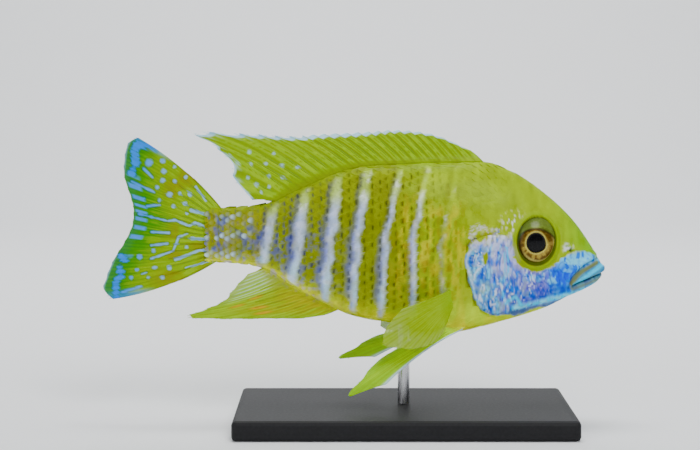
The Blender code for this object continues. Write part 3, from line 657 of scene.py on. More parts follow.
def buildSkin():
    rows, around = skin["rows"], skin["around"]
    headShare = skin["headEnd"] / (skin["headEnd"] + (fish["length"] - skin["headEnd"]) / skin["rearSpacing"])
    share = (np.arange(1, rows + 1) / rows) ** skin["snoutDense"]
    behind = np.interp(share, [0, headShare, 1], [0, skin["headEnd"], fish["length"]])
    turns = 2 * math.pi * np.arange(around) / around
    b, t = np.meshgrid(behind, turns + skin["sideDense"] * np.sin(2 * turns), indexing="ij")
    plain = bodyAt(b, t, -fish["skinUnder"])
    across = np.roll(plain, -1, axis=1) - np.roll(plain, 1, axis=1)
    normal = unit(np.cross(across, np.gradient(plain, axis=0)))
    outward = np.sign((normal * (plain - plain.mean(axis=1, keepdims=True))).sum(-1, keepdims=True))
    normal *= np.where(outward == 0, 1, outward)
    facing = ease(np.abs(normal[..., 2]), *skin["facing"])
    facing = np.where(b < skin["snoutEnd"], np.maximum(facing, skin["snoutFacing"]), facing)
    lift = np.where(b < skin["reliefEnd"], headRelief(plain[..., 0], plain[..., 1]) * facing, 0)
    lift += fish["skinUnder"] * ease(b, *skin["bare"])
    points = (plain + normal * lift[..., None]).reshape(-1, 3)
    colour, shine = bodyColour(plain[..., 0].ravel(), plain[..., 1].ravel())
    colour = mix(colour, marks["black"], skin["scaleShade"] * ease(points[:, 0], *skin["shaded"]))
    ends = [(0.05, stations[0, 1] - 0.1, 0.0), points[-around:].mean(axis=0)]
    points, shine = np.vstack([points, ends]), np.append(shine, [skin["tipShine"]] * 2)
    colour = np.vstack([colour, marks["cyan"] * skin["tipTone"], colour[-1]])
    made = closedPiece("skin", points, ringFaces(rows, around), colour, shine)
    nodes = ("head", "torso", "tail_stalk", "upper_jaw", "lower_jaw", "gill_cover_left", "gill_cover_right")
    finished(made, nodes, materials["skin"])


buildSkin()
print("skin done")


# geometry nodes; every tree also takes a material
def newTree(name, inputs):
    tree = bpy.data.node_groups.new(name, "GeometryNodeTree")
    for label, kind in {"Geometry": "Geometry", **inputs, "Material": "Material"}.items():
        tree.interface.new_socket(label, in_out="INPUT", socket_type="NodeSocket" + kind)
    tree.interface.new_socket("Geometry", in_out="OUTPUT", socket_type="NodeSocketGeometry")
    return tree, tree.nodes.new("NodeGroupInput").outputs


# real geometry with the material on it, as the tree's result
def closeTree(tree, start, geometry):
    real = addNode(tree, "GeometryNodeRealizeInstances", None, {"Geometry": geometry}).outputs["Geometry"]
    links = {"Geometry": real, "Material": start["Material"]}
    finish = addNode(tree, "GeometryNodeSetMaterial", None, links)
    addNode(tree, "NodeGroupOutput", None, {"Geometry": finish.outputs["Geometry"]})
    return tree


# runs the tree over the source and keeps the plain mesh it makes, without the layers that are spent
def runTree(source, tree, values, name, spent):
    modifier = source.modifiers.new("grow", "NODES")
    modifier.node_group = tree
    sockets = {s.name: s.identifier for s in tree.interface.items_tree if s.in_out == "INPUT"}
    for label, value in values.items():
        modifier[sockets[label]] = value
    bpy.context.view_layer.update()
    graph = bpy.context.evaluated_depsgraph_get()
    grown = source.evaluated_get(graph)
    mesh = bpy.data.meshes.new_from_object(grown, preserve_all_data_layers=True, depsgraph=graph)
    bpy.data.objects.remove(source)
    mesh.name = name
    for label in spent:
        if label in mesh.attributes:
            mesh.attributes.remove(mesh.attributes[label])
    return addObject(name, mesh)


def namedAttribute(tree, label, kind):
    node = addNode(tree, "GeometryNodeInputNamedAttribute", {"Name": label}, data_type=kind)
    return next(out for out in node.outputs if out.enabled and out.name == "Attribute")


# one plate on each root, turned and sized by the root's own layers
def scaleTree():
    inputs = {"Scale": "Object", "Length": "Float", "Width": "Float", "Thickness": "Float"}
    tree, start = newTree("scaleCoat", inputs)
    shape = addNode(tree, "GeometryNodeObjectInfo", None, {"Object": start["Scale"]})
    links = {"X": start["Length"], "Y": start["Width"], "Z": start["Thickness"]}
    sizes = addNode(tree, "ShaderNodeCombineXYZ", None, links)
    links = {0: sizes.outputs[0], 1: namedAttribute(tree, "size", "FLOAT_VECTOR")}
    size = addNode(tree, "ShaderNodeVectorMath", None, links, operation="MULTIPLY")
    spread = addNode(tree, "GeometryNodeInstanceOnPoints", None, {
        "Points": start["Geometry"], "Instance": shape.outputs["Geometry"], "Scale": size.outputs[0],
        "Rotation": namedAttribute(tree, "spin", "QUATERNION"),
    })
    return closeTree(tree, start, spread.outputs["Instances"])


# scales
scales = {
    "first": 13.0, "last": 98.5,
    "pitch": ((12, 1.25), (22, 1.45), (30, 1.80), (50, 1.92), (75, 1.80), (90, 1.45), (100, 1.30)),
    "rowRatio": 1.12, "tilt": math.radians(1.5), "length": 1.62, "width": 1.16, "thickness": 1.0,
    "flatter": 0.65, "flatterTo": (36, 46),  # the front scales' share of the tilt, and where it grows to all
    "clear": (0.35, 0.25),  # mm kept free along the back and the belly
    "uneven": {"place": 0.03, "edge": 0.12, "size": 0.03, "tilt": 0.004},
    "dome": 0.032, "plate": 0.016, "crease": math.radians(50), "patch": 0.0015,
    "steps": (0.0, 0.22, 0.36, 0.47, 0.54, 0.60, 0.66, 0.83, 1.0), "across": 6,
    # the coat's front edge, as height and place behind the snout
    "bareEdge": ((-17, 25.5), (-13, 27.0), (-11.5, 30.2), (-9.8, 32.4), (-7, 33.8), (-4, 34.6), (-0.8, 35.5),
                 (2.3, 36.1), (5.6, 35.3), (7.6, 32.6), (9.0, 27.5), (12.0, 22.0), (16.0, 16.5), (22.0, 13.0),
                 (30.0, 12.0)),
    # mean and spread from scale to scale: tone, dash's strength, place and half height, pale spot's strength
    "looks": ((1.0, 0.045), (0.80, 0.30), (0.60, 0.035), (0.60, 0.14), (0.55, 0.45)),
    "stalkRows": (12.2, 7.5, 2.6),
}


# a plate ends in a rounded rear edge
def rounded(u, v):
    return u * (1 - 0.42 * np.abs(v) ** 2.4)


# one scale, a thin domed plate: x to the rear, y across, z out
def scalePlate():
    u, v = np.meshgrid(scales["steps"], np.linspace(-1, 1, scales["across"] + 1), indexing="ij")
    dome = scales["dome"] * (1 - v ** 2) * (1 - 0.5 * u)
    top = np.stack([1.30 * rounded(u, v) - 0.30, 0.5 * v * (1 - 0.10 * (1 - u)), dome + scales["plate"]], -1)
    top = top.reshape(-1, 3)
    quads, rim = gridFaces(u.shape)
    under = len(top) + np.arange(len(rim))
    sides = np.stack([rim, np.roll(rim, -1), np.roll(under, -1), under], -1)
    vertices = np.vstack([top, top[rim] - (0, 0, 1.6 * scales["plate"])])
    made = meshObject("scalePlate", vertices, quads.tolist() + sides.tolist() + [under[::-1].tolist()])
    fixNormals(made, scales["crease"])
    spots = np.stack([u, v, np.zeros_like(u)], -1).reshape(-1, 3)
    addLayer(made.data, "spot", "FLOAT_VECTOR", np.vstack([spots, spots[rim]]))
    return made


# roots in columns down the side, every second one half a row lower, with each scale's turn and size
def scaleRoots(side):
    uneven = scales["uneven"]
    random = np.random.default_rng(7 if side > 0 else 8)
    turns = np.linspace(0.02, math.pi - 0.02, 400)
    roots, sizes, spins = [], [], []
    behind, column = scales["first"], 0

    def pointOn(ring, turn):
        return np.array([np.interp(turn, turns, axis) for axis in ring.T])

    while behind < scales["last"]:
        pitch = float(np.interp(behind, *np.transpose(scales["pitch"])))
        row = pitch * scales["rowRatio"]
        at = min(behind, fish["length"])
        ring, ahead = (bodyAt(np.full(len(turns), b), turns, -fish["skinUnder"]) for b in (at, at - 0.4))
        arc = np.append(0, np.cumsum(np.linalg.norm(np.diff(ring, axis=0), axis=1)))
        middle = np.interp(math.pi / 2, turns, arc)
        for k in range(-26, 27):
            place = middle + (k + 0.5 * (column % 2)) * row + random.normal(0, uneven["place"]) * row
            if not scales["clear"][0] < place < arc[-1] - scales["clear"][1]:
                continue
            turn = np.interp(place, arc, turns)
            root = pointOn(ring, turn)
            edge = np.interp(root[1], *np.transpose(scales["bareEdge"]))
            if root[0] < edge + random.normal(0, uneven["edge"]):
                continue
            rearwards = root - pointOn(ahead, turn)
            out = np.cross(rearwards, pointOn(ring, turn + 0.01) - root)
            roots.append((root, rearwards, -out if out[2] < 0 else out))
            long, wide = (each * (1 + random.normal(0, uneven["size"])) for each in (pitch, row))
            sizes.append((long, wide, pitch))
        behind, column = behind + pitch, column + 1
    roots = np.array(roots) * (1, 1, side)
    for root, *axes in roots:
        x, z = (Vector((-d[0], d[2], d[1])).normalized() for d in axes)
        turned = Matrix((x, z.cross(x), z)).transposed().to_quaternion()
        tilt = scales["tilt"] * float(mix(scales["flatter"], 1, ease(root[0], *scales["flatterTo"]))[0])
        lift = Matrix.Rotation(-tilt + random.normal(0, uneven["tilt"]), 3, "Y").to_quaternion()
        spins.append(tuple(turned @ lift))
    return roots[:, 0], spins, np.array(sizes)


# colours by the place of each vertex on the fish, of its scale's root, and its spot on the plate
def scaleColours(at, spot, points, owner, side):
    b, a = at[:, 0], at[:, 1]
    u, v = spot[:, 0], spot[:, 1]
    random = np.random.default_rng(9 + side)
    drawn = (random.normal(*spread, len(points))[owner] for spread in scales["looks"])
    tone, share, centre, tall, pale = drawn
    rootB, rootA = points[owner, 0], points[owner, 1]
    height, along = heightAt(rootB, rootA)[2], rounded(u, v)
    # plates under the gill cover's edge take the colour behind it, so that no blue creeps out
    nearFace = insideOutline(b, a, head["blueFace"]) > -0.8
    colour, shine = bodyColour(b + 1.2 * ease(u, 0.9, 0.4) * nearFace, a)
    # a dark dash at each scale's bare base
    dash = bell(along - centre, 0.056) * bell(v, np.clip(tall, 0.3, 0.9), 4) * np.clip(share, 0.1, 1)
    dash *= ease(rootB, 33, 44) * (1 - 0.9 * barsAt(b, a)[0]) * span(height, 0.04, 0.16, 0.93, 1)
    dash *= (0.65 + 0.35 * ease(rootB, 38, 50)) * (1 - 0.45 * ease(rootB, 84, 88))
    # pale spots on the tail stalk's scales, brightest along its rows
    rows = sum(bell(rootA - row, 0.70) for row in scales["stalkRows"])
    bloom = np.clip(np.clip(pale, 0, 1) * (0.10 + 1.5 * rows), 0, 1)
    bloom *= bell(along - 0.78, 0.19) * bell(v, 0.72)
    bloom *= ease(rootB, 84.5, 88) * span(height, 0.03, 0.12, 0.86, 0.95)
    colour = layered(colour, marks, (
        (mix(marks["dash"], marks["dashRear"], ease(rootB, 60, 80)), 0.96 * dash),
        (vivid(mix(marks["bar"], marks["barLow"], 0.7)), bloom),
    ))
    # a painted highlight: each scale's rear rim is painted paler, as a pearly sheen
    rim = ease(u, 0.80, 0.95) * (1 - 0.5 * ease(np.abs(v), 0.6, 1))
    colour = mix(colour, np.clip(colour * 1.35 + 0.005, 0, 1), 0.10 * rim * ease(rootB, 30, 50))
    return np.clip(colour * tone[:, None], 0, 1), shine


def buildScales(side, name, plate, tree):
    points, spins, sizes = scaleRoots(side)
    source = meshObject("roots", toWorld(points))
    addLayer(source.data, "spin", "QUATERNION", spins)
    addLayer(source.data, "size", "FLOAT_VECTOR", sizes * mm)
    values = {"Scale": plate, "Material": materials["scales"]}
    values.update((label, scales[label.lower()]) for label in ("Length", "Width", "Thickness"))
    made = runTree(source, tree, values, name, ("coat", "spin", "size"))
    mesh = made.data
    spot = readLayer(mesh.attributes["spot"].data, "vector", 3)
    mesh.attributes.remove(mesh.attributes["spot"])
    owner = np.arange(len(spot)) // len(plate.data.vertices)
    addColours(mesh, *scaleColours(fromWorld(readLayer(mesh.vertices, "co", 3)), spot, points, owner, side))
    # each scale's patch at its root's place on an unwrap of the skin
    turn = np.arctan2(np.abs(points[:, 2]), points[:, 1] - 5) / math.pi
    unwrap = np.stack([points[:, 0] / 100, 0.5 + side * (0.02 + 0.46 * turn)], -1)
    uv = unwrap[owner] + spot[:, :2] * scales["patch"]
    loops = np.empty(len(mesh.loops), np.int32)
    mesh.loops.foreach_get("vertex_index", loops)
    mesh.uv_layers.new(name="OFBake").data.foreach_set("uv", uv[loops].astype(np.float32).ravel())
    mesh.shade_smooth()
    finished(made)
    print(name, len(points), "scales")


plate = scalePlate()
coatTree = scaleTree()
buildScales(1, "scales_left", plate, coatTree)
buildScales(-1, "scales_right", plate, coatTree)
bpy.data.objects.remove(plate)

# fins: the root is the foot's line and the tips are the free edge, as in the solids
# each tip holds its share of the root, its place behind the snout and its height
# lift: painted light, how much brighter the colours of a fin that hangs in shade are painted
finPlans = {
    "dorsal_fin": {
        "root": ("back", 30.8, 83.0), "rays": 25, "spines": 16, "bow": (0.04, 0.0), "notch": 0.07,
        "tips": ((0, 33.7, 29), (0.1, 41.5, 32.5), (0.25, 51.5, 34), (0.4, 60.5, 33.5), (0.55, 70.5, 33),
                 (0.68, 79.7, 32.5), (0.8, 92.2, 33.2), (0.87, 102.7, 33), (0.91, 97.5, 30),
                 (0.94, 93.7, 25.7), (0.97, 92.2, 20.7), (1, 88, 16.5)),
        "fray": 0.075, "rayRadius": 0.30, "cells": 8, "rows": 84, "slot": "yellow_fin",
        # pale dots of the soft part: behind, above
        "dots": ((82.5, 28.2), (88.2, 25.5), (91.6, 25.6), (84.5, 25.6), (80.5, 25.2), (83.7, 22.5),
                 (80.4, 22.1), (89, 22.1), (83.7, 19.8), (85.7, 18.4), (76.6, 24.6), (88.6, 28.4),
                 (93.6, 27.6), (86.9, 20.4)),
    },
    "anal_fin": {
        "root": ("belly", 66.8, 85.4), "rays": 12, "spines": 3, "bow": (-0.03, 0.0), "notch": 0.04,
        "tips": ((0, 70.5, -12.6), (0.1, 76, -13.4), (0.2, 83.5, -13.5), (0.35, 94.7, -13.7),
                 (0.5, 105, -13.2), (0.62, 100.2, -11.2), (0.75, 95.5, -9), (0.87, 92.7, -5.7),
                 (1, 89.2, -2.2)),
        "fray": 0.045, "rayRadius": 0.26, "cells": 9, "rows": 80, "slot": "yellow_fin", "lift": 1.25,
        # orange spots: shares of the root and of the height
        "eggs": ((0.34, 0.62), (0.44, 0.45), (0.55, 0.58), (0.62, 0.44)),
    },
    "tail_fin": {
        "root": ("line", (95.8, 13.8), (96.2, 2.0), 1.4), "rays": 17, "spines": 0, "bow": (0.055, -0.115),
        "tips": ((0, 117.5, 32.5), (0.06, 119.2, 30.7), (0.15, 120.2, 26.5), (0.25, 120.2, 22),
                 (0.35, 118.7, 17.2), (0.5, 118, 13), (0.6, 118.5, 9.5), (0.7, 120.5, 5.5), (0.8, 123.2, 1.2),
                 (0.9, 125.2, -3.5), (0.96, 126, -6.7), (1, 124.5, -9)),
        "notch": 0.012, "rayRadius": 0.26, "cells": 12, "rows": 130, "slot": "green_fin",
    },
    "pectoral_fin": {
        "root": ("line", (37.0, -4.6), (38.0, -8.8), 0.0), "rays": 13, "spines": 0, "bow": (0.0, 0.0),
        "tips": ((0.0, 51.0, -9.2), (0.2, 55.0, -14.0), (0.35, 55.5, -17.7), (0.5, 51.7, -18.7),
                 (0.65, 48.0, -19.0), (0.8, 44.2, -18.2), (1.0, 40.7, -15.5)),
        "notch": 0.022, "rayRadius": 0.16, "cells": 7, "rows": 56, "slot": "pale_fin", "lift": 1.15,
        "foot": 1.0, "rayShade": 0.25, "bend": 3.6, "bendOver": (-1.2, 5.5), "spread": 0.28,
    },
    "pelvic_fin": {
        "root": ("line", (36.0, -16.0), (39.6, -14.2), 0.0), "rays": 7, "spines": 1, "bow": (0.05, 0.0),
        "tips": ((0.0, 54.7, -28.6), (0.2, 64.2, -31.2), (0.4, 61.0, -27.4), (0.6, 57.3, -23.2),
                 (0.8, 51.8, -19.8), (1.0, 45.0, -16.4)),
        "notch": 0.04, "rayRadius": 0.24, "cells": 12, "rows": 80, "slot": "yellow_fin", "lift": 1.6,
        "leftSwing": 13.0, "pivot": (38.0, -16.0), "out": 2.9, "spread": 0.26,
    },
}
# the foot is sunk below the skin, where the sheet is thicker
finSheet = {"thick": 0.16, "sunk": 1.2, "foot": 1.7, "footFade": 1.045, "rayShade": 0.70}
pectoralFoot = sideOut(37.5, -6.6) - 2.0


def finRoot(plan, u):
    kind, front, rear, *sag = plan["root"]
    if kind == "line":
        bent = sag[0] * 4 * u * (1 - u)
        return front[0] + (rear[0] - front[0]) * u + bent, front[1] + (rear[1] - front[1]) * u
    behind = front + (rear - front) * u
    return behind, profileAt(behind)[0 if kind == "back" else 1]


def finTips(plan, side):
    tips = np.array(plan["tips"])
    if side > 0 and "leftSwing" in plan:
        turn = np.radians(plan["leftSwing"] * (1 - 0.3 * tips[:, 0]))
        pivot = plan["pivot"]
        x, y = tips[:, 1] - pivot[0], tips[:, 2] - pivot[1]
        tips[:, 1] = pivot[0] + np.cos(turn) * x - np.sin(turn) * y
        tips[:, 2] = pivot[1] + np.sin(turn) * x + np.cos(turn) * y
    return tips.T


# how far out a fin stands, at a distance past its foot; fins without a side stay in the middle
def finOut(plan, past, side):
    out = plan.get("out", pectoralFoot) + plan.get("spread", 0) * past
    if "bend" in plan:
        out = out + plan["bend"] * ease(past, *plan["bendOver"])
    return side * out


# a point of the fin's middle sheet; v runs from its foot, 0, to its tip, 1
def finAt(kind, u, v, side=0):
    plan, sunk = finPlans[kind], finSheet["sunk"]
    shares, *tips = finTips(plan, side)
    rootB, rootA = finRoot(plan, u)
    tipB, tipA = (curveAt(u, shares, tip) for tip in tips)
    reachB, reachA = tipB - rootB, tipA - rootA
    length = np.hypot(reachB, reachA)
    startB, startA = rootB - reachB / length * sunk, rootA - reachA / length * sunk
    bow = plan["bow"][0] * (1 - u) ** 2 if kind == "pelvic_fin" else plan["bow"][0] + plan["bow"][1] * u
    bulge = bow * 4 * v * (1 - v)
    b = startB + (tipB - startB) * v - reachA * bulge
    a = startA + (tipA - startA) * v + reachB * bulge
    return np.stack([b, a, finOut(plan, v * (length + sunk) - sunk, side)], -1), length


# where the free edge lies between two rays: spines carry a small lappet behind their tips
def finEdge(kind, u):
    plan = finPlans[kind]
    place = u * (plan["rays"] - 1)
    part = place - np.floor(place)
    saw = plan["notch"] * np.clip(part * 1.15, 0, 1) ** 1.2 * ease(part, 1.0, 0.9)
    scallop = plan.get("fray", 0.55 * plan["notch"]) * np.sin(part * math.pi) ** 0.8
    corner = 0.035 * (np.exp(-u / 0.025) + np.exp(-(1 - u) / 0.025)) if kind == "tail_fin" else 0
    return 1 - np.where(place < plan["spines"] - 1, saw, scallop) - corner


finTones = palette(
    yellow=(176, 206, 6), bright=(206, 228, 6), fresh=(186, 218, 6), lime=(156, 184, 8), clear=(180, 192, 60),
    gold=(160, 150, 8), orange=(214, 180, 14), flame=(226, 150, 6), olive=(100, 112, 12), green=(72, 142, 34),
    teal=(60, 124, 96), fern=(128, 178, 96), ink=(30, 84, 62), glass=(206, 222, 176), white=(206, 240, 252),
    pale=(166, 204, 230), blue=(96, 152, 240), rimBlue=(96, 168, 204),
)
# light marks of the tail: half widths and lines of (behind, above) in mm, and dots with their sizes
tailMarks = {
    "strokes": (
        (0.32, (102.1, 19.7), (99.6, 16.3)), (0.42, (103.3, 13.8), (98.1, 12.4)),
        (0.36, (109.0, 11.1), (107.3, 11.3), (104.0, 9.9), (102.3, 10.6), (98.7, 9.4), (97.9, 8.0)),
        (0.26, (116.5, 12.8), (109.0, 11.0)), (0.46, (103.2, 6.7), (98.7, 6.5), (98.6, 3.8)),
        (0.42, (107.4, 1.3), (101.2, 3.8), (98.7, 3.8)), (0.28, (114.8, -2.0), (116.0, -2.4)),
        (0.28, (113.7, 1.5), (108.0, 3.5), (106.5, 7.0), (104.4, 7.9)), (0.28, (113.5, 8.3), (109.0, 8.1)),
        (0.28, (113.5, 4.9), (109.4, 5.4)), (0.30, (118.3, 21.0), (112.6, 18.3)),
        (0.26, (117.6, 16.9), (115.1, 16.7)), (0.26, (114.4, 14.8), (111.2, 15.1)),
        (0.22, (104.8, -0.7), (99.0, 0.9)), (0.30, (121.2, -7.1), (116.2, -5.5)),
        (0.30, (115.2, 24.2), (113.0, 22.0)),
    ),
    "dots": (
        (113.9, 25.8, 0.95), (110.4, 26.2, 0.6), (110.2, 23.6, 0.65), (110.5, 21.2, 0.6), (111.9, 19.4, 0.5),
        (107.3, 24.8, 0.45), (107.4, 21.2, 0.55), (108.8, 17.8, 0.65), (106.1, 18.2, 0.5),
        (103.7, 17.8, 0.65), (104.6, 22.2, 0.45), (111.3, 16.2, 0.5), (107.8, 14.8, 0.65), (104.8, 15.5, 0.5),
        (104.5, 13, 0.45), (113, 3.6, 0.5), (116.5, 2, 0.65), (112.7, -0.6, 0.6), (108.9, -0.7, 0.6),
        (117.1, -1.2, 0.5), (118.7, -3.4, 0.6), (114.4, -3.2, 0.6), (110.8, -3.2, 0.55), (104.5, 4.6, 0.5),
    ),
    "bands": (
        (0.75, (111.8, 29.2), (114.0, 30.2), (116.6, 30.4), (117.6, 28.6), (117.2, 26.0), (118.3, 23.0)),
        (0.65, (121.2, 2), (120.2, 1)), (0.75, (121.6, -0.6), (121.3, -2.8), (122.7, -4.6), (122.5, -8.4)),
    ),
}


# what the fins' colours go by: place counts the rays and part is the share of the way to the next
def finPlace(kind, u, v, length, side):
    place = u * (finPlans[kind]["rays"] - 1)
    sheet = finAt(kind, u, v, side)[0]
    return SimpleNamespace(
        u=u, v=v, length=length, b=sheet[..., 0], a=sheet[..., 1], place=place, part=place - np.floor(place),
        spots=noiseAt(place, v * length, 0.8, 51),
        streak=noiseAt(place * 6.5, v * length * 0.25, 1.0, 52),  # fine streaks between the rays
    )


# each of these gives the layers over the fin's yellow, and how solid the membrane is
def dorsalLayers(at):
    u, v, place, part = at.u, at.v, at.place, at.part
    soft = ease(u, 0.6, 0.72)
    wide = (0.42 + 0.68 * ease(u, 0.25, 0.55)) * (1 - 0.8 * ease(u, 0.86, 0.93))
    margin = ease((finEdge("dorsal_fin", u) - v) * at.length, wide + 0.45, wide) * ease(u, 0.0, 0.05)
    return (
        ("bright", 0.65 * ease(at.streak, 0.45, 0.75)),
        ("olive", 0.85 * bell(part - 0.80, 0.15) * (1 - 0.35 * soft)),
        ("olive", 0.50 * bell(part - 0.38, 0.10) * ease(at.spots, 0.3, 0.6)),
        *(("pale", 0.8 * ease(oval(at.b, at.a, dot, (1, 1)) + 0.3 * (at.spots - 0.5), 0.65, 0.25))
          for dot in finPlans["dorsal_fin"]["dots"]),
        ("olive", 0.55 * ease(v, 0.20, 0.02)),
        ("white", 0.97 * margin),
        ("rimBlue", 0.45 * margin * ease(np.sin(place * math.pi * 2 + 1), 0.2, 0.9) * soft),
        ("pale", 0.6 * ease(v, 0.72, 0.95) * soft * ease(np.sin(place * math.pi * 4), 0.3, 0.8)),
    ), 1 - 0.10 * soft * ease(v, 0.6, 1.0)


def tailLayers(at):
    tone = finTones
    u, v, b, a = at.u, at.v, at.b, at.a
    middle = np.abs(u - 0.5) * 2
    comb = noiseAt(at.place * 9.0, v * 1.5, 1.0, 58)
    # short dashes along the rays at the rear edge
    light = span(v, 0.82, 0.86, 0.955, 0.985) * ease(np.sin(at.part * math.pi), 0.70, 0.92)
    light *= blotches(np.floor(at.place) * 5.3, v * 0, 1.0, 56, 0.25, 0.35) * ease(middle, 0.62, 0.48)
    inked = np.zeros(np.shape(u))
    for wide, *line in tailMarks["strokes"]:
        away = lineDistance(b, a, line)[0] + 0.25 * (at.spots - 0.5)
        light = np.maximum(light, ease(away, wide * 1.25, wide * 0.5))
        inked = np.maximum(inked, ease(away, wide + 0.45, wide + 0.15))
    for dotB, dotA, size in tailMarks["dots"]:
        away = np.hypot((b - dotB) * 0.92, a - dotA) + 0.35 * (at.spots - 0.5) + 0.3 * (comb - 0.5)
        light = np.maximum(light, ease(away, size * 1.1, size * 0.5))
        inked = np.maximum(inked, 0.6 * ease(away, size + 0.35, size + 0.05))
    combed = mix(tone["blue"], tone["blue"] * 0.75, ease(comb, 0.4, 0.7))
    bands = []
    for wide, *line in tailMarks["bands"]:
        away = (lineDistance(b, a, line)[0] + 1.3 * (comb - 0.5)) / wide
        bands += [("ink", 0.5 * ease(away, 1.8, 1.1)), (combed, 0.94 * ease(away, 1.2, 0.7))]
    sides = np.clip(bell(u, 0.022) + bell(1 - u, 0.022), 0, 1)
    return (
        ("lime", 0.8 * ease(v, 0.1, 0.35)),
        ("gold", 0.75 * blotches(b, a * 1.6, 4.0, 55, 0.45, 0.75) * ease(v, 0.75, 0.45)),
        ("green", 0.95 * ease(v, 0.42 + 0.25 * middle, 0.78 + 0.1 * middle)),
        ("teal", 0.40 * ease(v, 0.80, 1.0)),
        ("ink", 0.42 * np.sin(at.part * math.pi * 3) ** 4 * ease(v, 0.35, 0.65)),
        ("bright", 0.35 * ease(at.streak, 0.5, 0.8) * ease(v, 0.9, 0.7)),
        ("ink", 0.55 * inked * ease(v, 0.15, 0.5)),
        (mix(tone["pale"], tone["blue"], 0.25 + 0.6 * ease(v, 0.5, 0.9)), 0.92 * light),
        *bands,
        ("pale", 0.55 * ease((1 - v) * at.length, 0.7, 0.25) * ease(middle, 0.5, 0.7)),
        ("blue", 0.55 * sides * ease(v, 0.55, 0.8)),
    ), 1 - 0.06 * ease(v, 0.7, 1.0)


def analLayers(at):
    u, v, length = at.u, at.v, at.length
    thread = ease(np.sin(at.place * math.pi * 4), 0.55, 0.95) * ease(u, 0.58, 0.72)
    return (
        ("orange", 0.60 * ease(u, 0.75, 0.30) * ease(v, 0.9, 0.5)),
        ("lime", 0.8 * ease(v, 0.55, 0.95)),
        ("bright", 0.7 * ease(at.streak, 0.48, 0.72) * (1 - 0.6 * ease(v, 0.6, 1.0))),
        ("orange", 0.5 * ease(v, 0.40, 0.15)),
        ("glass", 0.45 * ease(u, 0.55, 0.85) * (0.5 + 0.5 * ease(at.streak, 0.4, 0.6))),
        ("olive", 0.45 * bell(at.part - 0.5, 0.16)),
        *(("flame", 0.6 * ease(np.hypot((u - eggU) / 0.035, (v - eggV) * length / 2.6), 1.1, 0.4))
          for eggU, eggV in finPlans["anal_fin"]["eggs"]),
        ("white", 0.5 * thread * span(v, 0.15, 0.35, 0.75, 0.95)),
    ), 1 - 0.22 * ease(u, 0.5, 0.85) - 0.06 * ease(v, 0.7, 1.0)


def pectoralLayers(at):
    v = at.v
    return (
        ("clear", 0.6 * ease(v, 0.1, 0.4)),
        ("glass", 0.5 * ease(v, 0.45, 0.9)),
        ("gold", 0.45 * bell(at.part - 0.5, 0.16) * ease(v, 0.05, 0.2)),
        ("bright", 0.4 * ease(at.streak, 0.5, 0.75)),
    ), 0.95 - 0.30 * ease(v, 0.25, 0.95)


def pelvicLayers(at):
    u, v = at.u, at.v
    return (
        ("fresh", 0.75),
        ("bright", 0.7 * ease(at.streak, 0.4, 0.7)),
        ("fern", 0.60 * ease(v, 0.50, 0.95)),
        (finTones["lime"] * 0.7, 0.50 * np.sin(at.part * math.pi * 3) ** 4 * ease(v, 0.1, 0.3)),
        ("white", 0.95 * ease(u, 0.035, 0.012)),
    ), 1 - 0.14 * ease(u, 0.35, 0.8) - 0.10 * ease(v, 0.7, 1)


finLayers = {
    "dorsal_fin": dorsalLayers, "anal_fin": analLayers, "tail_fin": tailLayers,
    "pectoral_fin": pectoralLayers, "pelvic_fin": pelvicLayers,
}


def finColour(kind, u, v, length, side):
    at = finPlace(kind, u, v, length, side)
    layers, alpha = finLayers[kind](at)
    colour = layered(finTones["yellow"], finTones, layers)
    colour = mix(colour, colour * 0.72, 0.5 * bell(at.place - np.round(at.place), 0.10))
    # painted light: fins that hang in shade are painted brighter by their lift
    return np.clip(vivid(colour) * finPlans[kind].get("lift", 1.0), 0, 1), np.clip(alpha, 0, 1)


def buildMembrane(kind, name, side):
    plan = finPlans[kind]
    shape = (plan["cells"] * (plan["rays"] - 1) + 1, plan["rows"] + 1)
    u, share = np.meshgrid(*(np.linspace(0, 1, count) for count in shape), indexing="ij")
    v = share * finEdge(kind, u)
    middle, length = finAt(kind, u, v, side)
    normal = unit(np.cross(np.gradient(middle, axis=0), np.gradient(middle, axis=1)))
    fromFoot = v * length - finSheet["sunk"]
    foot = plan.get("foot", finSheet["foot"]) * np.exp(-np.maximum(fromFoot + 0.2, 0) / finSheet["footFade"])
    place = u * (plan["rays"] - 1)
    thick = finSheet["thick"] + foot + 0.10 * bell(place - np.round(place), 0.14) * (1 - v)
    out = normal * (thick * (1 - 0.55 * ease(v, 0.85, 1.0)))[..., None] / 2
    points = np.vstack([(middle + out).reshape(-1, 3), (middle - out).reshape(-1, 3)])
    # the foot takes the skin's colour
    blend = ease(fromFoot.ravel(), 1.6, -0.2)
    colour, alpha = finColour(kind, u.ravel(), v.ravel(), length.ravel(), side)
    colour = mix(colour, bodyColour(middle[..., 0].ravel(), middle[..., 1].ravel())[0] * 0.75, 0.7 * blend)
    quads, rim = gridFaces(shape)
    ahead = np.roll(rim, -1)
    faces = [quads, quads[:, ::-1] + u.size, np.stack([rim, ahead, ahead + u.size, rim + u.size], -1)]
    alpha = np.tile(np.maximum(alpha, blend), 2)
    return closedPiece(name, points, np.vstack(faces).tolist(), np.vstack([colour, colour]), alpha)


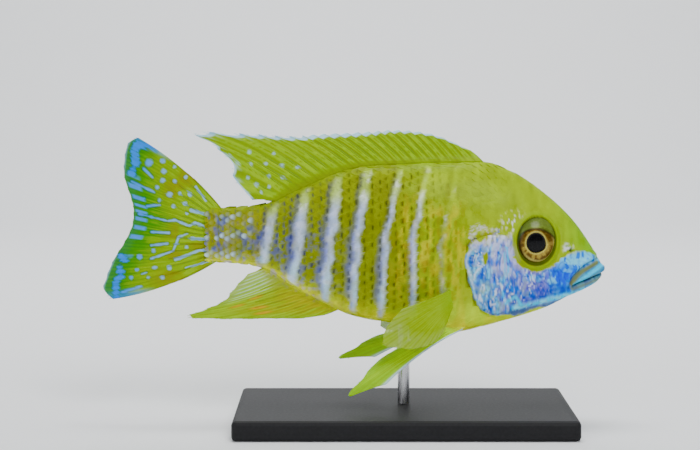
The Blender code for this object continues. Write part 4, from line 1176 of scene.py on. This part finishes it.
# tubes along the strands, closed at their ends
def rayTree():
    tree, start = newTree("finRays", {"Thickness": "Float", "Sides": "Int"})
    curve = addNode(tree, "GeometryNodeMeshToCurve", None, {"Mesh": start["Geometry"]})
    ring = addNode(tree, "GeometryNodeCurvePrimitiveCircle", {"Radius": 1.0}, {"Resolution": start["Sides"]})
    links = {0: namedAttribute(tree, "wide", "FLOAT"), 1: start["Thickness"]}
    wide = addNode(tree, "ShaderNodeMath", None, links, operation="MULTIPLY")
    tube = addNode(tree, "GeometryNodeCurveToMesh", {"Fill Caps": True}, {
        "Curve": curve.outputs["Curve"], "Profile Curve": ring.outputs["Curve"], "Scale": wide.outputs[0],
    })
    smooth = addNode(tree, "GeometryNodeSetShadeSmooth", None, {"Geometry": tube.outputs["Mesh"]})
    return closeTree(tree, start, smooth.outputs["Geometry"])


raysTree = rayTree()
# points along each strand, shares of the height where it starts, forks and ends, and how far twigs part, in
# gaps between two rays
strands = {
    "spine": 26, "stem": 14, "twig": 12, "foot": 0.02, "spineTip": 0.985, "tip": (0.99, 0.006),
    "fork": (0.42, 0.03), "second": (0.70, 0.03), "overlap": 0.02, "part": 0.17, "partAgain": 0.09,
    "sides": 6,
}


# rays along the fin's sheet, soft ones forking twice
def buildRays(kind, name, side):
    plan = finPlans[kind]
    random = np.random.default_rng(len(kind) + side)
    points, edges, wide, tones = [], [], [], []
    gap, full = 1 / (plan["rays"] - 1), plan["rayRadius"]
    shade = plan.get("rayShade", finSheet["rayShade"])

    # radii run evenly with the share of the height: at none of it, and what is lost over all of it
    def strand(u, vs, thick, lost):
        us = np.clip(np.broadcast_to(u, vs.shape), 0, 1)
        at, length = finAt(kind, us, vs, side)
        colour = finColour(kind, us, np.clip(vs, 0, 1), length, side)[0]
        darker = finTones["white"] if kind == "pelvic_fin" and us[0] < 0.08 else colour * 0.66 + 0.012
        edges.extend((k, k + 1) for k in range(len(points), len(points) + len(vs) - 1))
        points.extend(at)
        wide.extend(full * (thick - lost * vs))
        tones.extend(mix(colour, darker, shade))

    for ray in range(plan["rays"]):
        u = ray * gap
        if ray < plan["spines"]:
            strand(u, np.linspace(strands["foot"], strands["spineTip"], strands["spine"]), 1.15, 0.90)
            continue
        fork, second = random.normal(*strands["fork"]), random.normal(*strands["second"])
        strand(u, np.linspace(strands["foot"], fork + strands["overlap"], strands["stem"]), 1, 0.5)
        for way in (-1, 1):
            if not 0 <= ray + way < plan["rays"]:
                continue
            apart = way * strands["part"] * gap
            vs = np.linspace(fork - 0.01, second + strands["overlap"], strands["twig"])
            strand(u + apart * ease(vs, fork, second), vs, 0.72, 0.5)
            for turn in (-1, 1):
                vs = np.linspace(second - 0.01, random.normal(*strands["tip"]), strands["twig"])
                again = turn * strands["partAgain"] * gap * ease(vs, second, 1.0)
                strand(u + apart + again, vs, 0.50, 0.34)
    source = meshObject("strands", toWorld(np.array(points)), (), edges, np.array(tones))
    addLayer(source.data, "wide", "FLOAT", np.array(wide) * mm)
    values = {"Thickness": 1.0, "Sides": strands["sides"], "Material": materials["finRays"]}
    return runTree(source, raysTree, values, name, ("wide",))


for kind, plan in finPlans.items():
    paired = kind in ("pectoral_fin", "pelvic_fin")
    for side, end in ((1, "_left"), (-1, "_right")) if paired else ((0, ""),):
        sheet = buildMembrane(kind, f"{kind}{end}_membrane", side)
        rays = buildRays(kind, f"{kind}{end}_rays", side)
        finished(sheet, (kind + end,), materials["finMembrane"])
        finished(rays)
print("fins done")

# eyes
eye = {
    "middleOut": 4.3, "radii": (5.75, 3.4, 6.6), "pupil": (2.38, 2.54), "pupilAt": (-0.70, -0.25),
    "pupilDip": 0.20, "notch": 0.13, "iris": 4.45, "rings": 90, "around": 120,
    **palette(gold=(232, 200, 116), brown=(104, 78, 34), dark=(50, 40, 18), top=(112, 132, 62),
              outer=(64, 88, 54), rim=(252, 232, 160), black=(5, 5, 7)),
}


def buildEye(side, name):
    rings, around = eye["rings"], eye["around"]
    theta, phi = math.pi * np.arange(1, rings) / rings, 2 * math.pi * np.arange(around) / around
    t, p = np.meshgrid(theta, phi, indexing="ij")
    rx, ry, rz = eye["radii"]
    # x forward, y up and out along the eye's axis
    x, y, out = np.sin(t) * np.cos(p) * rx, np.sin(t) * np.sin(p) * rz, np.cos(t)
    px, pz = x - eye["pupilAt"][0], y - eye["pupilAt"][1]
    bearing = np.arctan2(pz, px)
    notch = bell(bearing + 0.45, 0.5)
    # q is 1 at the pupil's edge, wide is 1 at the iris's
    q = np.where(out > 0, oval(px, pz, (0, 0), eye["pupil"]), 9) / (1 + eye["notch"] * notch)
    wide = np.hypot(x / eye["iris"], (y + 0.7) / eye["iris"])
    local = np.stack([x, y, out * ry - eye["pupilDip"] * ease(q, 1.06, 0.85)], -1).reshape(-1, 3)
    local = np.vstack([local, (0, 0, ry - eye["pupilDip"]), (0, 0, -ry)])
    c, s = math.cos(head["eyeTurn"]), math.sin(head["eyeTurn"])
    forward, outward = local[:, 0] * c + local[:, 2] * s, local[:, 2] * c - local[:, 0] * s
    placed = [head["eye"][0] - forward, head["eye"][1] + local[:, 1], side * (eye["middleOut"] + outward)]
    streaks = noiseAt(bearing * 9 + 30, q * 2.2, 1.0, 61)
    flecks = noiseAt(x, y, 0.35, 62)
    arch = pz + 0.10 * px * px
    cap = ease(arch, 3.3, 3.8)
    colour = layered(eye["brown"], eye, (
        ("dark", 0.5 * ease(flecks, 0.5, 0.8)),
        ("gold", 0.55 * bell(q - 1.15, 0.05 + 0.26 * notch)),
        ("gold", (0.16 + 0.36 * ease(y, 0.5, -2.0)) * ease(streaks, 0.5, 0.8) * ease(wide, 1.0, 0.85)),
        ("dark", 0.50 * bell(y - 2.5, 0.75) * ease(q, 1.15, 1.35) * ease(wide, 0.95, 0.8)),
        ("rim", 0.75 * bell(wide - 0.93, 0.055) * ease(-np.sin(bearing - 0.5), -0.1, 0.7)),
        ("dark", 0.7 * bell(wide - 1.03, 0.05)),
        # olive cap over the iris, with a dark line along its arched lower edge
        ("top", cap * (1 - 0.35 * flecks)),
        ("dark", 0.75 * bell(arch - 3.45, 0.32) * (wide < 1.1)),
        ("outer", ease(wide, 1.04, 1.12) * (1 - 0.75 * cap)),
        ("rim", 0.97 * bell(q - 1.07, 0.045)),
    ))
    colour = mix(vivid(colour, 1.2), eye["black"], ease(q, 1.03, 0.97)).reshape(-1, 3)
    shine = 0.7 * ease(wide, 1.05, 0.95) * ease(q, 1.0, 1.05)
    made = closedPiece(f"eyeball_{name}", np.stack(placed, -1), ringFaces(rings - 1, around),
                       np.vstack([colour, eye["black"], eye["outer"]]), np.append(shine, [0, 0]))
    finished(made, (f"eye_{name}", f"pupil_{name}"), materials["eye"])


buildEye(1, "left")
buildEye(-1, "right")
print("eyes done")

# stand and floor: noise runs from dark to light and from the first roughness to the second
plainLooks = {
    "stand_base": {"stretch": (1, 1, 1), "grainScale": 1400, "detail": 6, "dark": (0.008, 0.008, 0.009),
                   "light": (0.020, 0.020, 0.022), "roughness": (0.46, 0.64), "bump": 0.25, "metallic": 0.0,
                   "gloss": 0.14},
    "stand_rod": {"stretch": (1, 1, 0.06), "grainScale": 3000, "detail": 6, "dark": (0.42, 0.42, 0.44),
                  "light": (0.72, 0.72, 0.74), "roughness": (0.18, 0.34), "bump": 0.2, "metallic": 1.0,
                  "gloss": 0.5},
    "floor": {"stretch": (1, 1, 1), "grainScale": 60, "detail": 2, "dark": srgb(232, 234, 236) * 0.985,
              "light": srgb(232, 234, 236), "roughness": (0.85, 0.85), "bump": 0.0, "metallic": 0.0,
              "gloss": 0.5},
}


def grainedMaterial(name, look):
    made, tree, shader, place = newMaterial(name)
    stretch = addNode(tree, "ShaderNodeMapping", {"Scale": look["stretch"]}, {"Vector": place})
    grain = noiseNode(tree, stretch.outputs["Vector"], look["grainScale"], look["detail"])
    tint = addNode(tree, "ShaderNodeValToRGB", None, {"Fac": grain})
    for element, shade in zip(tint.color_ramp.elements, (look["dark"], look["light"])):
        element.color = (*shade, 1)
    links = {"Base Color": tint.outputs["Color"], "Roughness": rangeNode(tree, grain, *look["roughness"])}
    if look["bump"]:
        links["Normal"] = bumpNode(tree, grain, look["bump"], 0.0001)
    setInputs(tree, shader, {"Metallic": look["metallic"], "Specular IOR Level": look["gloss"]}, links)
    return made


for node in ("stand_base", "stand_rod"):
    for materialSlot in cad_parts[node].material_slots:
        materialSlot.material = grainedMaterial(node + "Finish", plainLooks[node])

# floor, light and camera
centre = (-0.0135, 0.0, 0.05025)
floor = {"size": 3.0, "back": 0.55, "bend": 0.3, "height": 2.0}
# each light: place, target, width and power
lights = {
    "key": ((0.18, -0.50, 0.52), centre, 0.35, 3.9),
    "fill": ((-0.50, -0.45, 0.20), centre, 0.5, 1.4),
    "rim": ((-0.05, 0.45, 0.55), centre, 0.4, 0.9),
    "backdrop": ((0.0, 0.12, 0.85), (0.0, 0.85, 0.35), 0.6, 12.0),
}
sky = {"Color": (0.93, 0.96, 1.0, 1), "Strength": 0.08}
view = {"lens": 90.0, "sensor": 36.0, "width": 0.175, "rise": math.radians(5.0)}


def buildFloor():
    half, back, bend = floor["size"] / 2, floor["back"], floor["bend"]
    turns = np.linspace(0.1, math.pi / 2, 16)
    curve = [(back + bend * math.sin(t), bend - bend * math.cos(t)) for t in turns]
    profile = [(-half, 0.0), (back, 0.0), *curve, (back + bend, floor["height"])]
    vertices = [(x, y, z) for y, z in profile for x in (-half, half)]
    faces = [(k, k + 1, k + 3, k + 2) for k in range(0, len(vertices) - 2, 2)]
    made = meshObject("floor", vertices, faces)
    made.data.materials.append(grainedMaterial("floorPaper", plainLooks["floor"]))


def addLight(name, place, target, size, power):
    light = bpy.data.lights.new(name, "AREA")
    light.shape = "DISK"
    light.size = size
    light.energy = power
    made = addObject(name, light)
    made.location = place
    made.rotation_euler = (Vector(target) - Vector(place)).to_track_quat("-Z", "Y").to_euler()


def addCamera():
    data = bpy.data.cameras.new("camera")
    data.lens, data.sensor_width = view["lens"], view["sensor"]
    data.clip_end = 20
    made = addObject("camera", data)
    rise, distance = view["rise"], view["width"] * view["lens"] / view["sensor"]
    made.location = Vector(centre) + Vector((0, -math.cos(rise), math.sin(rise))) * distance
    made.rotation_euler = (math.pi / 2 - rise, 0, 0)
    return made


buildFloor()
for name, plan in lights.items():
    addLight(name, *plan)
world = bpy.data.worlds.new("studio")
world.use_nodes = True
setInputs(world.node_tree, world.node_tree.nodes["Background"], sky)
scene.world = world
scene.camera = addCamera()

shown = [thing for thing in scene.objects if thing.type == "MESH" and not thing.hide_render]
print("triangles", sum(len(face.vertices) - 2 for thing in shown for face in thing.data.polygons))
